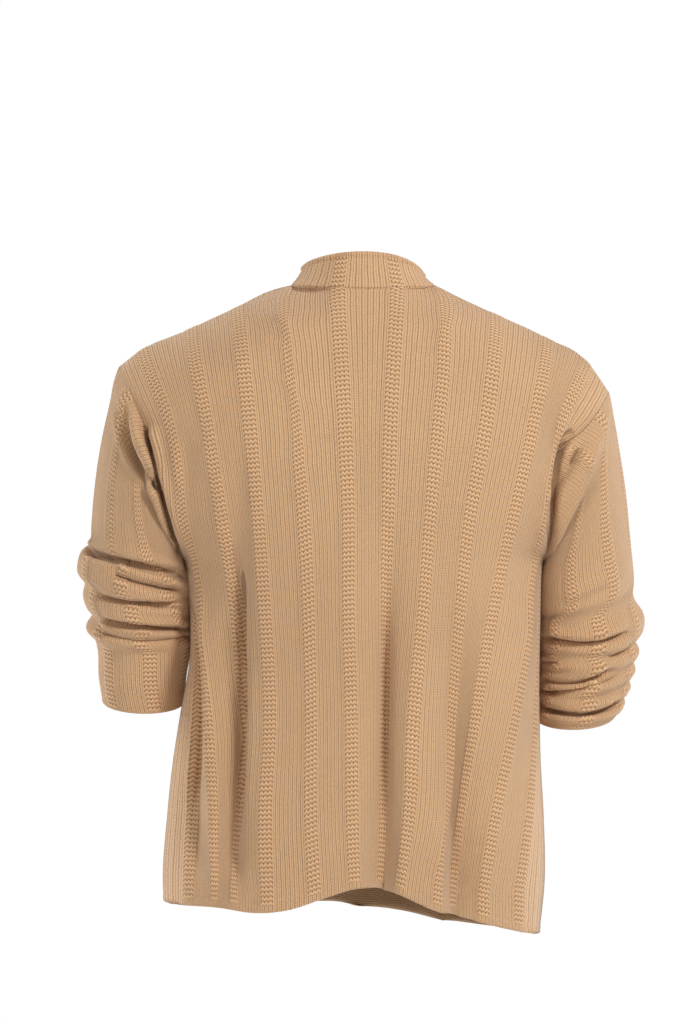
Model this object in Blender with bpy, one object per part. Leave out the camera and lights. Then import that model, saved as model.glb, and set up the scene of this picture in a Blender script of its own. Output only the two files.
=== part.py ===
"""A knitted sweater with a low funnel neck, hollow and hanging as it is worn, arms down.

Five knitted pieces are sewn together: a back, a front, two sleeves and a collar. Each is one
closed wall of cloth. The frame is metres with +Z up. The wearer faces -Y, so +X is the wearer's
left. The origin is the middle of the neck seam, where the garment hangs on its wearer.

A panel is laid out on its flat cut (how far across, how far up) and then carried to its worn
place: the short tables below give the worn outline, the depth of the body and the large folds.
"""
import math

import bmesh
import bpy
import numpy as np

MM = 0.001

# Cloth
WALL = 3.0 * MM
SEAM_GAP = 0.3 * MM
LONGEST_MITRE = 1.3

# Flat cut of the knit: raised columns of purl bumps stand a pitch apart on plain knit
COLUMN_PITCH = 49.5 * MM
COLUMN_HALF_WIDTH = 8.5 * MM
COLUMN_RELIEF = 0.9 * MM
PANEL_COLUMNS = 12
PANEL_HALF_WIDTH = PANEL_COLUMNS / 2 * COLUMN_PITCH
SHOULDER_HALF_WIDTH = PANEL_HALF_WIDTH - COLUMN_PITCH
NECK_HALF_WIDTH = 1.5 * COLUMN_PITCH
SLEEVE_HALF_CAP = 5 * COLUMN_PITCH
SLEEVE_LAST_LINE = 2.5 * COLUMN_PITCH

# Rows of the panels' meshes
HEM_TO_UNDERARM_ROWS = 12
UNDERARM_ROWS = 4
ROW_SAMPLES = 120  # along each third of a row before its vertices are laid

# Neck seam, an oval round the neck, and the collar that stands on it
NECK_CENTRE_X = 3 * MM
NECK_SIDE = 76 * MM
NECK_BACK = 68 * MM
NECK_FRONT = 88 * MM
NECK_BACK_DROP = 5 * MM
NECK_FRONT_DROP = 44 * MM
COLLAR_RISE = ((0.0, 0.0), (0.35, 0.40), (0.70, 0.74), (1.0, 1.0))  # share of width, of height
COLLAR_TOP_SIDE = 62 * MM
COLLAR_TOP_BACK = 60 * MM
COLLAR_TOP_FRONT = 78 * MM
COLLAR_TOP_SIDE_HEIGHT = 17 * MM
COLLAR_TOP_BACK_HEIGHT = 34 * MM
COLLAR_TOP_FRONT_HEIGHT = -6 * MM
COLLAR_TILT = 4 * MM  # how much higher the wearer's left side stands than the middle
COLLAR_FULLNESS = 1.15

# How the cloth rolls over the top of the shoulder
RIDGE_DROP = 70 * MM
NECK_START_ANGLE = math.radians(42)
NECK_FLARE = 10 * MM
OVAL_POWER = 2.2
DEEPEST_FOLD = 0.75


def table(names, *rows, plain=()):
    """Named columns of a short table, in metres; the plain columns are shares and keep their values."""
    columns = np.array(rows, float).T
    return {
        name: values if name in plain else values * MM
        for name, values in zip(names.split(), columns)
    }


# Shoulder seam from the wearer's left armhole to the right one, in millimetres
SHOULDER_SEAM = table(
    "across height",
    (-258, -121),
    (-237, -87),
    (-192, -56),
    (-136, -30),
    (-105, -16),
    (-73, 0),
    (79, 0),
    (101, -6),
    (139, -24),
    (195, -50),
    (241, -70),
    (263, -87),
)

# Worn body from the underarm down: its left and right edges and its depth behind and in front
BODY = table(
    "height left right back front",
    (-690, 212, -185, 116, 126),
    (-640, 216, -190, 116, 126),
    (-563, 211, -189, 114, 124),
    (-507, 205, -186, 112, 122),
    (-462, 198, -185, 112, 122),
    (-394, 187, -185, 116, 124),
    (-341, 188, -187, 119, 127),
    (-292, 194, -190, 120, 128),
)

# Depth of the body's middle above the underarm, behind and in front
YOKE = table(
    "height back front",
    (-292, 120, 128),
    (-220, 119, 126),
    (-150, 113, 118),
    (-90, 102, 108),
    (-44, 88, 96),
    (0, 74, 84),
)

# Hem heights across the worn garment
HEM_BACK = table(
    "across height",
    (-190, -680),
    (-146, -669),
    (-104, -658),
    (-70, -649),
    (-36, -636),
    (8, -630),
    (42, -637),
    (80, -651),
    (115, -656),
    (155, -656),
    (214, -659),
)
HEM_FRONT = table(
    "across height",
    (-190, -680),
    (-140, -692),
    (-88, -688),
    (-36, -679),
    (22, -671),
    (100, -669),
    (165, -664),
    (214, -659),
)

# Armhole seams: the shoulder point, the underarm point, and the seam's half depth
ARMHOLES = {
    "left": {"top": (263, 0, -87), "bottom": (194, -4, -292), "depth": 62},
    "right": {"top": (-258, 0, -121), "bottom": (-190, -4, -292), "depth": 60},
}
# How far the seam bows towards the body, by its share of the way down
ARMHOLE_BOW = table(
    "share left_back right_back front",
    (0.00, 0, 0, 0),
    (0.20, 6, 10, 4),
    (0.38, 10, 32, 8),
    (0.50, 10, 28, 9),
    (0.70, 4, 13, 6),
    (0.85, 1, 4, 2),
    (1.00, 0, 0, 0),
    plain=("share",),
)

# Where each raised column of the back runs across the body, by height
COLUMN_HEIGHTS = np.array((-642, -563, -459, -335, -254, -144, -74, 0)) * MM
BACK_COLUMNS = {
    5.5: (187, 182, 178, 188),
    4.5: (152, 159, 166, 180, 193, 209, 238, 262),
    3.5: (143, 135, 130, 138, 151, 168, 182, 192),
    2.5: (104, 106, 101, 107, 113, 123, 131, 139),
    1.5: (54, 58, 58, 61, 65, 74, 81, 88),
    0.5: (12, 15, 16, 19, 19, 23, 27, 31),
    -0.5: (-13, -18, -18, -20, -22, -25, -29, -34),
    -1.5: (-33, -44, -49, -60, -66, -76, -83, -90),
    -2.5: (-75, -84, -90, -99, -107, -126, -135, -144),
    -3.5: (-90, -99, -114, -135, -153, -177, -192, -206),
    -4.5: (-123, -136, -158, -180, -188, -206, -240, -262),
    -5.5: (-161, -173, -180, -184),
}

# Large folds that run down the panels: the trough's place at its top and bottom, its depth,
# how wide its slopes are towards the wearer's left and right, and the heights where it
# starts, is at its deepest, stays so, and has faded out
BACK_FOLDS = table(
    "x_top x_bottom depth wide_left wide_right start full hold end",
    (176, 168, 21, 30, 9, -300, -420, -545, -625),
    (129, 131, 27, 22, 11, -160, -400, -575, -640),
    (-22, -14, 27, 34, 34, -120, -520, -700, -720),
    (-84, -94, 21, 15, 42, -260, -540, -700, -720),
    (187, 187, 6, 15, 15, -140, -180, -230, -270),
)
FRONT_FOLDS = table(
    "x_top x_bottom depth wide_left wide_right start full hold end",
    (150, 163, 24, 30, 16, -210, -450, -600, -690),
    (84, 92, 20, 20, 34, -230, -500, -700, -720),
    (12, 4, 24, 36, 36, -170, -520, -700, -720),
    (-70, -84, 18, 28, 18, -250, -480, -700, -720),
    (-140, -150, 25, 16, 30, -200, -430, -600, -690),
)

# Rings down each sleeve from the armhole: a ring's outer and inner points across and up, its
# middle's place and half depth front to back, how much lower its back is than its front, and
# half its flat width. Gathers are a crease ring between two ridge rings.
LEFT_SLEEVE = table(
    "outer outer_z inner inner_z middle depth drop half_flat",
    (268, -102, 202, -297, -2, 66, 0, 243),  # roll of cloth beside the seam
    (272, -122, 204, -301, -4, 58, 0, 236),  # crease beside the roll
    (281, -162, 205, -304, -7, 61, 2, 218),
    (289, -213, 200, -307, -10, 60, 5, 200),
    (294, -258, 197, -309, -13, 59, 8, 186),
    (291, -283, 197, -313, -16, 54, 10, 178),  # crease 1
    (304, -301, 194, -321, -18, 60, 12, 176),
    (299, -312, 196, -328, -20, 55, 11, 174),  # crease 2
    (303, -321, 193, -335, -22, 59, 13, 172),
    (293, -332, 195, -341, -24, 52, 14, 170),  # crease 3
    (296, -345, 191, -352, -26, 55, 13, 166),
    (286, -357, 194, -366, -28, 49, 12, 162),  # crease 4
    (292, -366, 190, -373, -30, 52, 13, 160),
    (281, -375, 194, -381, -32, 46, 13, 158),  # crease 5
    (285, -388, 192, -390, -34, 47, 11, 152),
    (283, -418, 195, -420, -39, 45, 11, 146),
    (280, -446, 197, -448, -45, 43, 11, 142),
)
RIGHT_SLEEVE = table(
    "outer outer_z inner inner_z middle depth drop half_flat",
    (-261, -134, -198, -297, -2, 66, 0, 243),  # roll of cloth beside the seam
    (-265, -152, -200, -301, -5, 57, 0, 236),  # crease beside the roll
    (-273, -188, -200, -306, -9, 60, 2, 218),
    (-279, -228, -197, -314, -14, 60, 5, 200),
    (-283, -270, -193, -326, -19, 59, 8, 186),
    (-286, -314, -190, -345, -24, 57, 10, 178),
    (-297, -351, -188, -364, -29, 60, 12, 176),
    (-288, -371, -190, -378, -31, 53, 15, 172),  # crease 1
    (-294, -381, -188, -391, -33, 57, 14, 170),
    (-285, -391, -190, -403, -35, 51, 16, 167),  # crease 2
    (-287, -401, -187, -413, -36, 54, 13, 164),
    (-281, -410, -190, -423, -38, 49, 17, 161),  # crease 3
    (-285, -418, -187, -430, -39, 52, 14, 158),
    (-277, -424, -191, -437, -40, 47, 15, 155),  # crease 4
    (-281, -436, -186, -445, -41, 50, 12, 150),
    (-272, -447, -190, -453, -42, 44, 15, 146),  # crease 5
    (-272, -454, -186, -458, -43, 45, 12, 144),
    (-267, -461, -186, -465, -44, 43, 12, 142),
)

CAMEL = (0.60, 0.37, 0.18, 1.0)


def curve(place, knots, values):
    """A smooth curve through a table's points, flat beyond its ends."""
    knots = np.asarray(knots, float)
    values = np.asarray(values, float)
    if knots[0] > knots[-1]:
        knots, values = knots[::-1], values[::-1]
    place = np.clip(place, knots[0], knots[-1])
    slopes = np.gradient(values, knots)
    left = np.clip(np.searchsorted(knots, place, side="right") - 1, 0, len(knots) - 2)
    span = knots[left + 1] - knots[left]
    t = (place - knots[left]) / span
    start = (2 * t**3 - 3 * t**2 + 1) * values[left] + (t**3 - 2 * t**2 + t) * span * slopes[left]
    end = (3 * t**2 - 2 * t**3) * values[left + 1] + (t**3 - t**2) * span * slopes[left + 1]
    return start + end


def ease(value, start, end):
    """Rises smoothly from 0 at start to 1 at end."""
    t = np.clip((value - start) / (end - start), 0.0, 1.0)
    return t * t * (3.0 - 2.0 * t)


def along(points, shares):
    """Points at the given shares of a polyline's length."""
    steps = np.linalg.norm(np.diff(points, axis=0), axis=1)
    length = np.concatenate(([0.0], np.cumsum(steps)))
    place = np.asarray(shares) * length[-1]
    return np.column_stack([np.interp(place, length, points[:, axis]) for axis in range(3)])


def panel_lines():
    """Flat places across a panel: each raised column's two edges and middle, and a plain line between."""
    middles = (np.arange(PANEL_COLUMNS) - (PANEL_COLUMNS - 1) / 2) * COLUMN_PITCH
    edges = np.concatenate([middles - COLUMN_HALF_WIDTH, middles, middles + COLUMN_HALF_WIDTH])
    plain = (np.arange(PANEL_COLUMNS + 1) - PANEL_COLUMNS / 2) * COLUMN_PITCH
    return np.sort(np.concatenate([edges, plain]))


def sleeve_lines():
    """Flat places from a sleeve's top line to its underarm seam, as far as its columns go."""
    middles = np.arange(3) * COLUMN_PITCH
    lines = np.concatenate([middles - COLUMN_HALF_WIDTH, middles, middles + COLUMN_HALF_WIDTH])
    plain = (np.arange(3) + 0.5) * COLUMN_PITCH
    lines = np.concatenate([lines, plain])
    return np.sort(lines[(lines >= 0) & (lines <= SLEEVE_LAST_LINE)])


def sleeve_shares(half_flat):
    """Shares of the way round from top line to underarm seam, for a flat half width."""
    lines = sleeve_lines()
    rest = np.linspace(SLEEVE_LAST_LINE, half_flat, UNDERARM_ROWS + 1)[1:]
    return np.concatenate([lines, rest]) / half_flat


def column_relief(flat):
    """How far a column's middle stands above the plain knit; its edges and the knit stay at 0."""
    nearest = (np.round(flat / COLUMN_PITCH - 0.5) + 0.5) * COLUMN_PITCH
    return np.where(np.abs(flat - nearest) < 0.1 * COLUMN_HALF_WIDTH, COLUMN_RELIEF, 0.0)


def armhole_seam(side, back):
    """The seam from shoulder point to underarm point, behind or in front, as a dense polyline."""
    hole = ARMHOLES[side]
    top = np.array(hole["top"]) * MM
    bottom = np.array(hole["bottom"]) * MM
    angle = np.linspace(0.0, math.pi, 121)
    share = (1.0 - np.cos(angle)) / 2.0
    points = top + (bottom - top) * share[:, None]
    facing = 1.0 if back else -1.0
    points[:, 1] += facing * hole["depth"] * MM * np.sin(angle)
    bow = ARMHOLE_BOW[f"{side}_back"] if back else ARMHOLE_BOW["front"]
    points[:, 0] -= math.copysign(1.0, top[0]) * curve(share, ARMHOLE_BOW["share"], bow)
    return points


def armhole_points(side, back):
    """The seam's points that both a panel and a sleeve use, from shoulder to underarm."""
    return along(armhole_seam(side, back), sleeve_shares(SLEEVE_HALF_CAP))


def neck_seam(angle):
    """The neck seam; angle 0 is the wearer's left neck point and a quarter turn is the back."""
    back = np.sin(angle)
    depth = np.where(back > 0, NECK_BACK, NECK_FRONT)
    drop = np.where(back > 0, NECK_BACK_DROP, NECK_FRONT_DROP)
    return np.column_stack([
        NECK_CENTRE_X + NECK_SIDE * np.cos(angle),
        depth * back,
        -drop * back**2,
    ])


def top_edge(across, back):
    """The panel's top edge: shoulder seam, neck seam, shoulder seam, at places across the body."""
    offset = np.clip((across - NECK_CENTRE_X) / NECK_SIDE, -1.0, 1.0)
    angle = np.arccos(offset) * (1.0 if back else -1.0)
    neck = neck_seam(angle)
    height = curve(across, SHOULDER_SEAM["across"], SHOULDER_SEAM["height"])
    at_neck = np.abs(across - NECK_CENTRE_X) < NECK_SIDE
    return np.where(at_neck, neck[:, 1], 0.0), np.where(at_neck, neck[:, 2], height)


def fold_depth(across, height, folds):
    """Depth of all troughs at places on a panel; a slope is half a cosine wave."""
    total = np.zeros_like(across)
    for x_top, x_bottom, depth, wide_left, wide_right, start, full, hold, end in zip(*folds.values()):
        share = np.clip((height - start) / (end - start), 0.0, 1.0)
        away = across - (x_top + (x_bottom - x_top) * share)
        width = np.where(away > 0, wide_left, wide_right)
        profile = 0.5 + 0.5 * np.cos(math.pi * np.clip(np.abs(away) / width, 0.0, 1.0))
        strength = ease(-height, -start, -full) * (1.0 - ease(-height, -hold, -end))
        total += depth * strength * profile
    return total


def folded(across, depth, height, back):
    """The body's depth with its folds, which flatten out where the body itself thins to its edge."""
    folds = fold_depth(across, height, BACK_FOLDS if back else FRONT_FOLDS)
    limit = DEEPEST_FOLD * depth + 1e-6 * MM
    return depth - limit * np.tanh(folds / limit)


def body_row(share, back):
    """A row round the worn body between hem and underarm, as a dense line from right to left."""
    hem = HEM_BACK if back else HEM_FRONT
    turn = np.linspace(-math.pi / 2, math.pi / 2, 3 * ROW_SAMPLES + 1)
    underarm = BODY["height"][-1]
    at_hem = (hem["across"][0] + hem["across"][-1] + (hem["across"][-1] - hem["across"][0]) * np.sin(turn)) / 2
    hem_height = curve(at_hem, hem["across"], hem["height"])
    height = hem_height + (underarm - hem_height) * share
    left = curve(height, BODY["height"], BODY["left"])
    right = curve(height, BODY["height"], BODY["right"])
    across = (left + right) / 2 + (left - right) / 2 * np.sin(turn)
    depth = curve(height, BODY["height"], BODY["back" if back else "front"]) * np.cos(turn)
    facing = 1.0 if back else -1.0
    return np.column_stack([across, facing * folded(across, depth, height, back), height])


def top_places():
    """Places across the top edge from the right armhole to the left one; two are the neck points."""
    right, left = SHOULDER_SEAM["across"][[0, -1]]
    neck = NECK_CENTRE_X - NECK_SIDE * np.cos(np.linspace(0.0, math.pi, ROW_SAMPLES + 1))
    return np.concatenate([
        np.linspace(right, neck[0], ROW_SAMPLES, endpoint=False),
        neck,
        np.linspace(neck[-1], left, ROW_SAMPLES + 1)[1:],
    ])


def yoke_row(left_seam, right_seam, share, back):
    """A row over chest and shoulders between two armhole points, as a dense line from right to left."""
    facing = 1.0 if back else -1.0
    top_across = top_places()
    place = np.interp(top_across, top_across[[0, -1]], (-1.0, 1.0))
    outer = np.abs(place)
    across = (left_seam[0] + right_seam[0] + place * (left_seam[0] - right_seam[0])) / 2
    top_depth, top_height = top_edge(top_across, back)
    across = across + (top_across - across) * ease(share, 0.0, 1.0) * (1.0 - outer**4)
    side = (top_across - NECK_CENTRE_X) / NECK_SIDE
    beside_neck = np.clip(np.abs(side), 0.0, 1.0) ** 2 * (1.0 - ease(np.abs(side), 1.0, 1.8))
    flare = ease(1.0 - share, 0.0, 0.06) * (1.0 - ease(1.0 - share, 0.12, 0.4))
    across = across + np.sign(side) * NECK_FLARE * beside_neck * flare

    # A row's distance below the top edge, first round the ridge of the shoulder, then straight down
    underarm = BODY["height"][-1]
    near_neck = 1.0 - ease(np.abs(top_across - NECK_CENTRE_X), 0.8 * NECK_SIDE, 1.6 * NECK_SIDE)
    start_angle = NECK_START_ANGLE * near_neck
    full_depth = curve(top_height - RIDGE_DROP, YOKE["height"], YOKE["back" if back else "front"])
    arc = (math.pi / 2 - start_angle) * (RIDGE_DROP + full_depth - facing * top_depth) / 2
    ridge_drop = RIDGE_DROP * np.cos(start_angle)
    straight = top_height - ridge_drop - underarm
    down = (1.0 - share) * (arc + straight)
    angle = start_angle + (math.pi / 2 - start_angle) * np.clip(down / arc, 0.0, 1.0)
    drop = RIDGE_DROP * (np.cos(start_angle) - np.cos(angle)) + np.maximum(down - arc, 0.0)
    height = top_height - drop
    round_over = (np.sin(angle) - np.sin(start_angle)) / (1.0 - np.sin(start_angle))

    middle_depth = curve(height, YOKE["height"], YOKE["back" if back else "front"])
    rise = ease(height, underarm, 0.0)
    section = np.maximum(1.0 - outer ** (2.0 + (OVAL_POWER - 2.0) * rise), 0.0) ** (0.5 + 0.2 * rise)
    seam_depth = facing * np.where(place > 0, left_seam[1], right_seam[1])
    depth = seam_depth + (middle_depth - seam_depth) * section
    depth = facing * top_depth + (depth - facing * top_depth) * round_over
    depth -= fold_depth(across, height, BACK_FOLDS if back else FRONT_FOLDS) * (1.0 - outer**6)
    line = np.column_stack([across, facing * depth, height])

    # The ends are drawn onto the armhole seam
    pull = outer[:, None] ** 6
    return line + np.where(place[:, None] > 0, left_seam - line[-1], right_seam - line[0]) * pull


def lay_columns(line, half_flat, back, near_top):
    """Vertices along a row at the panel's flat lines.

    The back's columns keep to their worn tracks; the front's are drawn to them near the top edge,
    where near_top rises to 1, and so are the two lines that end at the neck points.
    """
    steps = np.linalg.norm(np.diff(line, axis=0), axis=1)
    length = np.concatenate(([0.0], np.cumsum(steps)))
    anchors = {-half_flat: 0.0, half_flat: length[-1]}
    samples = np.arange(len(line))
    drawn = 1.0 if back else near_top
    for number, track in BACK_COLUMNS.items():
        heights = COLUMN_HEIGHTS[: len(track)]
        flat = number * COLUMN_PITCH
        if abs(flat) > half_flat or line[:, 2].max() > heights[-1] + 40 * MM or drawn == 0:
            continue
        ahead = line[:, 0] - curve(line[:, 2], heights, np.array(track) * MM)
        tracked = np.interp(np.interp(0.0, ahead, samples), samples, length)
        free = length[-1] * (flat + half_flat) / (2 * half_flat)
        anchors[flat] = free + (tracked - free) * drawn
    if near_top > 0:
        for flat, corner in ((-NECK_HALF_WIDTH, ROW_SAMPLES), (NECK_HALF_WIDTH, 2 * ROW_SAMPLES)):
            free = anchors.get(flat, length[-1] * (flat + half_flat) / (2 * half_flat))
            anchors[flat] = free + (length[corner] - free) * near_top
    flat = np.array(sorted(anchors))
    place = np.array([anchors[key] for key in flat])
    lines = panel_lines()
    inner = np.clip(lines, -half_flat, half_flat)
    if half_flat < PANEL_HALF_WIDTH:
        last = SHOULDER_HALF_WIDTH - COLUMN_PITCH / 2
        edge = np.abs(lines) > last
        spread = (half_flat - last) / (PANEL_HALF_WIDTH - last)
        inner = np.where(edge, np.sign(lines) * (last + (np.abs(lines) - last) * spread), lines)
    at = np.interp(inner, flat, place)
    return np.column_stack([np.interp(at, length, line[:, axis]) for axis in range(3)])


def panel_grid(back):
    """Mid-surface vertices of the back or the front, row by row from hem to top edge."""
    rows = []
    for share in np.linspace(0.0, 1.0, HEM_TO_UNDERARM_ROWS + 1)[:-1]:
        rows.append(lay_columns(body_row(share, back), PANEL_HALF_WIDTH, back, 0.0))
    left = armhole_points("left", back)[::-1]
    right = armhole_points("right", back)[::-1]
    shares = 1.0 - sleeve_shares(SLEEVE_HALF_CAP)[::-1]
    for left_seam, right_seam, share in zip(left, right, shares):
        line = yoke_row(left_seam, right_seam, share, back)
        half_flat = PANEL_HALF_WIDTH + (SHOULDER_HALF_WIDTH - PANEL_HALF_WIDTH) * ease(share, 0.0, 0.3)
        rows.append(lay_columns(line, half_flat, back, ease(share, 0.6, 0.95)))
    return np.array(rows)


def sleeve_grid(side, rings):
    """Mid-surface vertices of a sleeve, ring by ring from armhole to cuff, closed round."""
    behind = armhole_points(side, True)
    ahead = armhole_points(side, False)
    rows = [np.concatenate([behind, ahead[-2:0:-1]])]
    for outer, outer_z, inner, inner_z, middle, depth, drop, half_flat in zip(*rings.values()):
        angle = np.linspace(0.0, math.pi, 181)
        halves = []
        for facing in (1.0, -1.0):
            half = np.column_stack([
                (outer + inner) / 2 + (outer - inner) / 2 * np.cos(angle),
                middle + facing * depth * np.sin(angle),
                (outer_z + inner_z) / 2 + (outer_z - inner_z) / 2 * np.cos(angle)
                - facing * drop * np.sin(angle),
            ])
            halves.append(along(half, sleeve_shares(half_flat)))
        rows.append(np.concatenate([halves[0], halves[1][-2:0:-1]]))
    return np.array(rows)


def collar_grid(back, front):
    """Mid-surface vertices of the collar from neck seam to top edge, closed round."""
    lines = panel_lines()
    at_neck = np.abs(lines) < NECK_HALF_WIDTH + 0.1 * MM
    seam = np.concatenate([back[-1][at_neck][::-1], front[-1][at_neck][1:-1]])
    angle = np.arctan2(seam[:, 1] / np.where(seam[:, 1] > 0, NECK_BACK, NECK_FRONT),
                       (seam[:, 0] - NECK_CENTRE_X) / NECK_SIDE)
    behind = np.sin(angle)
    depth = np.where(behind > 0, COLLAR_TOP_BACK, COLLAR_TOP_FRONT)
    side_height = COLLAR_TOP_SIDE_HEIGHT + COLLAR_TILT * np.cos(angle)
    end_height = np.where(behind > 0, COLLAR_TOP_BACK_HEIGHT, COLLAR_TOP_FRONT_HEIGHT)
    top = np.column_stack([
        NECK_CENTRE_X + COLLAR_TOP_SIDE * np.cos(angle),
        depth * behind,
        side_height + (end_height - side_height) * np.abs(behind) ** COLLAR_FULLNESS,
    ])
    rows = []
    for inward, upward in COLLAR_RISE:
        share = np.array([inward, inward, upward])
        rows.append(seam + (top - seam) * share)
    return np.array(rows)


def grid_normals(grid, closed):
    """Sum of the normals of the faces round each vertex, outward for the way the grids are laid."""
    if closed:
        grid = np.concatenate([grid, grid[:, :1]], axis=1)
    side = np.diff(grid, axis=1)
    rise = np.diff(grid, axis=0)
    normals = np.zeros_like(grid)
    for row in (0, 1):
        for column in (0, 1):
            across = side[:-1] if row == 0 else side[1:]
            upward = rise[:, :-1] if column == 0 else rise[:, 1:]
            face = np.cross(across, upward)
            rows = slice(0, -1) if row == 0 else slice(1, None)
            columns = slice(0, -1) if column == 0 else slice(1, None)
            normals[rows, columns] += face
    if closed:
        normals[:, 0] += normals[:, -1]
        normals = normals[:, :-1]
    return normals


def mitred_offsets(grids, facings, closed):
    """Each vertex's way out of the cloth: seams share one direction, so that pieces meet in a mitre."""
    own = {name: grid_normals(grid, closed[name]) * facings[name] for name, grid in grids.items()}
    shared = {}
    for name, grid in grids.items():
        unit = own[name] / np.linalg.norm(own[name], axis=2, keepdims=True)
        own[name] = unit
        for row in (0, -1) if closed[name] else range(len(grid)):
            for column in range(grid.shape[1]):
                key = tuple(np.round(grid[row, column] / MM, 2))
                shared[key] = shared.get(key, np.zeros(3)) + unit[row, column]
    offsets = {}
    for name, grid in grids.items():
        ways = own[name].copy()
        for row in (0, -1) if closed[name] else range(len(grid)):
            for column in range(grid.shape[1]):
                total = shared[tuple(np.round(grid[row, column] / MM, 2))]
                way = total / np.linalg.norm(total)
                lean = max(float(way @ own[name][row, column]), 1.0 / LONGEST_MITRE)
                ways[row, column] = way / lean
        offsets[name] = ways
    return offsets


def pulled_back(grid, closed):
    """The grid with its borders drawn in by half the seam gap."""
    shrunk = grid.copy()
    borders = [(np.s_[0], np.s_[1]), (np.s_[-1], np.s_[-2])]
    if not closed:
        borders += [(np.s_[:, 0], np.s_[:, 1]), (np.s_[:, -1], np.s_[:, -2])]
    for border, neighbour in borders:
        inward = grid[neighbour] - grid[border]
        inward /= np.linalg.norm(inward, axis=-1, keepdims=True)
        shrunk[border] += inward * SEAM_GAP / 2
    return shrunk


def make_wall(name, grid, offset, relief, closed, material):
    """One closed wall of cloth: outer skin with its relief, plain inner skin, and the edges between."""
    grid = pulled_back(grid, closed)
    outside = grid + offset * (WALL / 2 + relief)[..., None]
    inside = grid - offset * WALL / 2
    rows, columns = grid.shape[:2]
    mesh = bmesh.new()
    outer = [[mesh.verts.new(point) for point in row] for row in outside]
    inner = [[mesh.verts.new(point) for point in row] for row in inside]
    for row in range(rows - 1):
        for column in range(columns if closed else columns - 1):
            after = (column + 1) % columns
            for skin in (outer, inner):
                corners = [skin[row][column], skin[row][after], skin[row + 1][after], skin[row + 1][column]]
                mesh.faces.new(corners if skin is outer else corners[::-1])
    for row in (0, rows - 1):
        for column in range(columns if closed else columns - 1):
            after = (column + 1) % columns
            rim = [outer[row][column], inner[row][column], inner[row][after], outer[row][after]]
            mesh.faces.new(rim if row == 0 else rim[::-1])
    for column in () if closed else (0, columns - 1):
        for row in range(rows - 1):
            rim = [outer[row][column], outer[row + 1][column], inner[row + 1][column], inner[row][column]]
            mesh.faces.new(rim if column == 0 else rim[::-1])
    bmesh.ops.triangulate(mesh, faces=mesh.faces[:])
    bmesh.ops.recalc_face_normals(mesh, faces=mesh.faces[:])
    data = bpy.data.meshes.new(name)
    mesh.to_mesh(data)
    mesh.free()
    data.materials.append(material)
    data.shade_smooth()
    thing = bpy.data.objects.new(name, data)
    bpy.context.scene.collection.objects.link(thing)
    return thing


def wool(name):
    """Camel knit, matt."""
    material = bpy.data.materials.new(name)
    material.use_nodes = True
    shader = material.node_tree.nodes["Principled BSDF"]
    shader.inputs["Base Color"].default_value = CAMEL
    shader.inputs["Roughness"].default_value = 0.9
    shader.inputs["Metallic"].default_value = 0.0
    return material


def reliefs(grids):
    """Relief of every vertex: columns on the panels, the collar and the outer half of the sleeves."""
    lines = panel_lines()
    panel = np.broadcast_to(column_relief(lines), grids["back"].shape[:2]).copy()
    panel[:, [0, -1]] = 0.0
    half = np.concatenate([sleeve_lines(), np.full(UNDERARM_ROWS, SLEEVE_LAST_LINE)])
    around = np.concatenate([half, half[-2:0:-1]])
    nearest = np.round(around / COLUMN_PITCH) * COLUMN_PITCH
    raised = np.where(np.abs(around - nearest) < 0.1 * COLUMN_HALF_WIDTH, COLUMN_RELIEF, 0.0)
    neck = lines[np.abs(lines) < NECK_HALF_WIDTH + 0.1 * MM]
    ring = column_relief(np.concatenate([neck, neck[1:-1]]))
    found = {"back": panel, "front": panel, "collar": np.broadcast_to(ring, grids["collar"].shape[:2])}
    for name in ("sleeve_left", "sleeve_right"):
        found[name] = np.broadcast_to(raised, grids[name].shape[:2])
    return found


def main():
    """Builds the five knitted pieces."""
    for thing in list(bpy.data.objects):
        bpy.data.objects.remove(thing)
    grids = {
        "back": panel_grid(True),
        "front": panel_grid(False),
        "sleeve_left": sleeve_grid("left", LEFT_SLEEVE),
        "sleeve_right": sleeve_grid("right", RIGHT_SLEEVE),
    }
    grids["collar"] = collar_grid(grids["back"], grids["front"])
    closed = {name: name not in ("back", "front") for name in grids}
    facings = {"back": -1.0, "front": 1.0, "sleeve_left": -1.0, "sleeve_right": 1.0, "collar": 1.0}
    offsets = mitred_offsets(grids, facings, closed)
    relief = reliefs(grids)
    for name, grid in grids.items():
        make_wall(name, grid, offsets[name], relief[name], closed[name], wool(f"{name}_wool"))


main()
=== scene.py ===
"""A camel knitted sweater with a low funnel neck, hollow and hanging as it is worn.

Each knitted piece is a fine grid of cloth in the place of its plain solid. A point is laid out on
the flat cut, in wales across and courses up, and carried to the worn form; the raised purl columns
are real relief, the plain stitches between them are bump in the material.
"""
import logging
import math
from dataclasses import dataclass, field
from enum import Enum

import bpy
import numpy as np
from numpy.typing import NDArray
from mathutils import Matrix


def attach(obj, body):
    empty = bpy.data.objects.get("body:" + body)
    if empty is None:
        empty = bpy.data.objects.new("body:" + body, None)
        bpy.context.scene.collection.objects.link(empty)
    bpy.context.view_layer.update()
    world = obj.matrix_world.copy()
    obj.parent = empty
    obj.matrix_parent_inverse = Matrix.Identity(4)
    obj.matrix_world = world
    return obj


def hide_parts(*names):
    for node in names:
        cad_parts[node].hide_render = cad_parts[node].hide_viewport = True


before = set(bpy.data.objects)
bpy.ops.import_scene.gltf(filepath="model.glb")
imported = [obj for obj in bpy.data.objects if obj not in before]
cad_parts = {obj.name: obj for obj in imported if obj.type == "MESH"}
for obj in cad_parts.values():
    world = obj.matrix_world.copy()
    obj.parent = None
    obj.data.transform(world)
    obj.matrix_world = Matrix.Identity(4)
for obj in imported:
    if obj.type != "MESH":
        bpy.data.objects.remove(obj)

Array = NDArray[np.float64]
Table = dict[str, Array]

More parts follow.
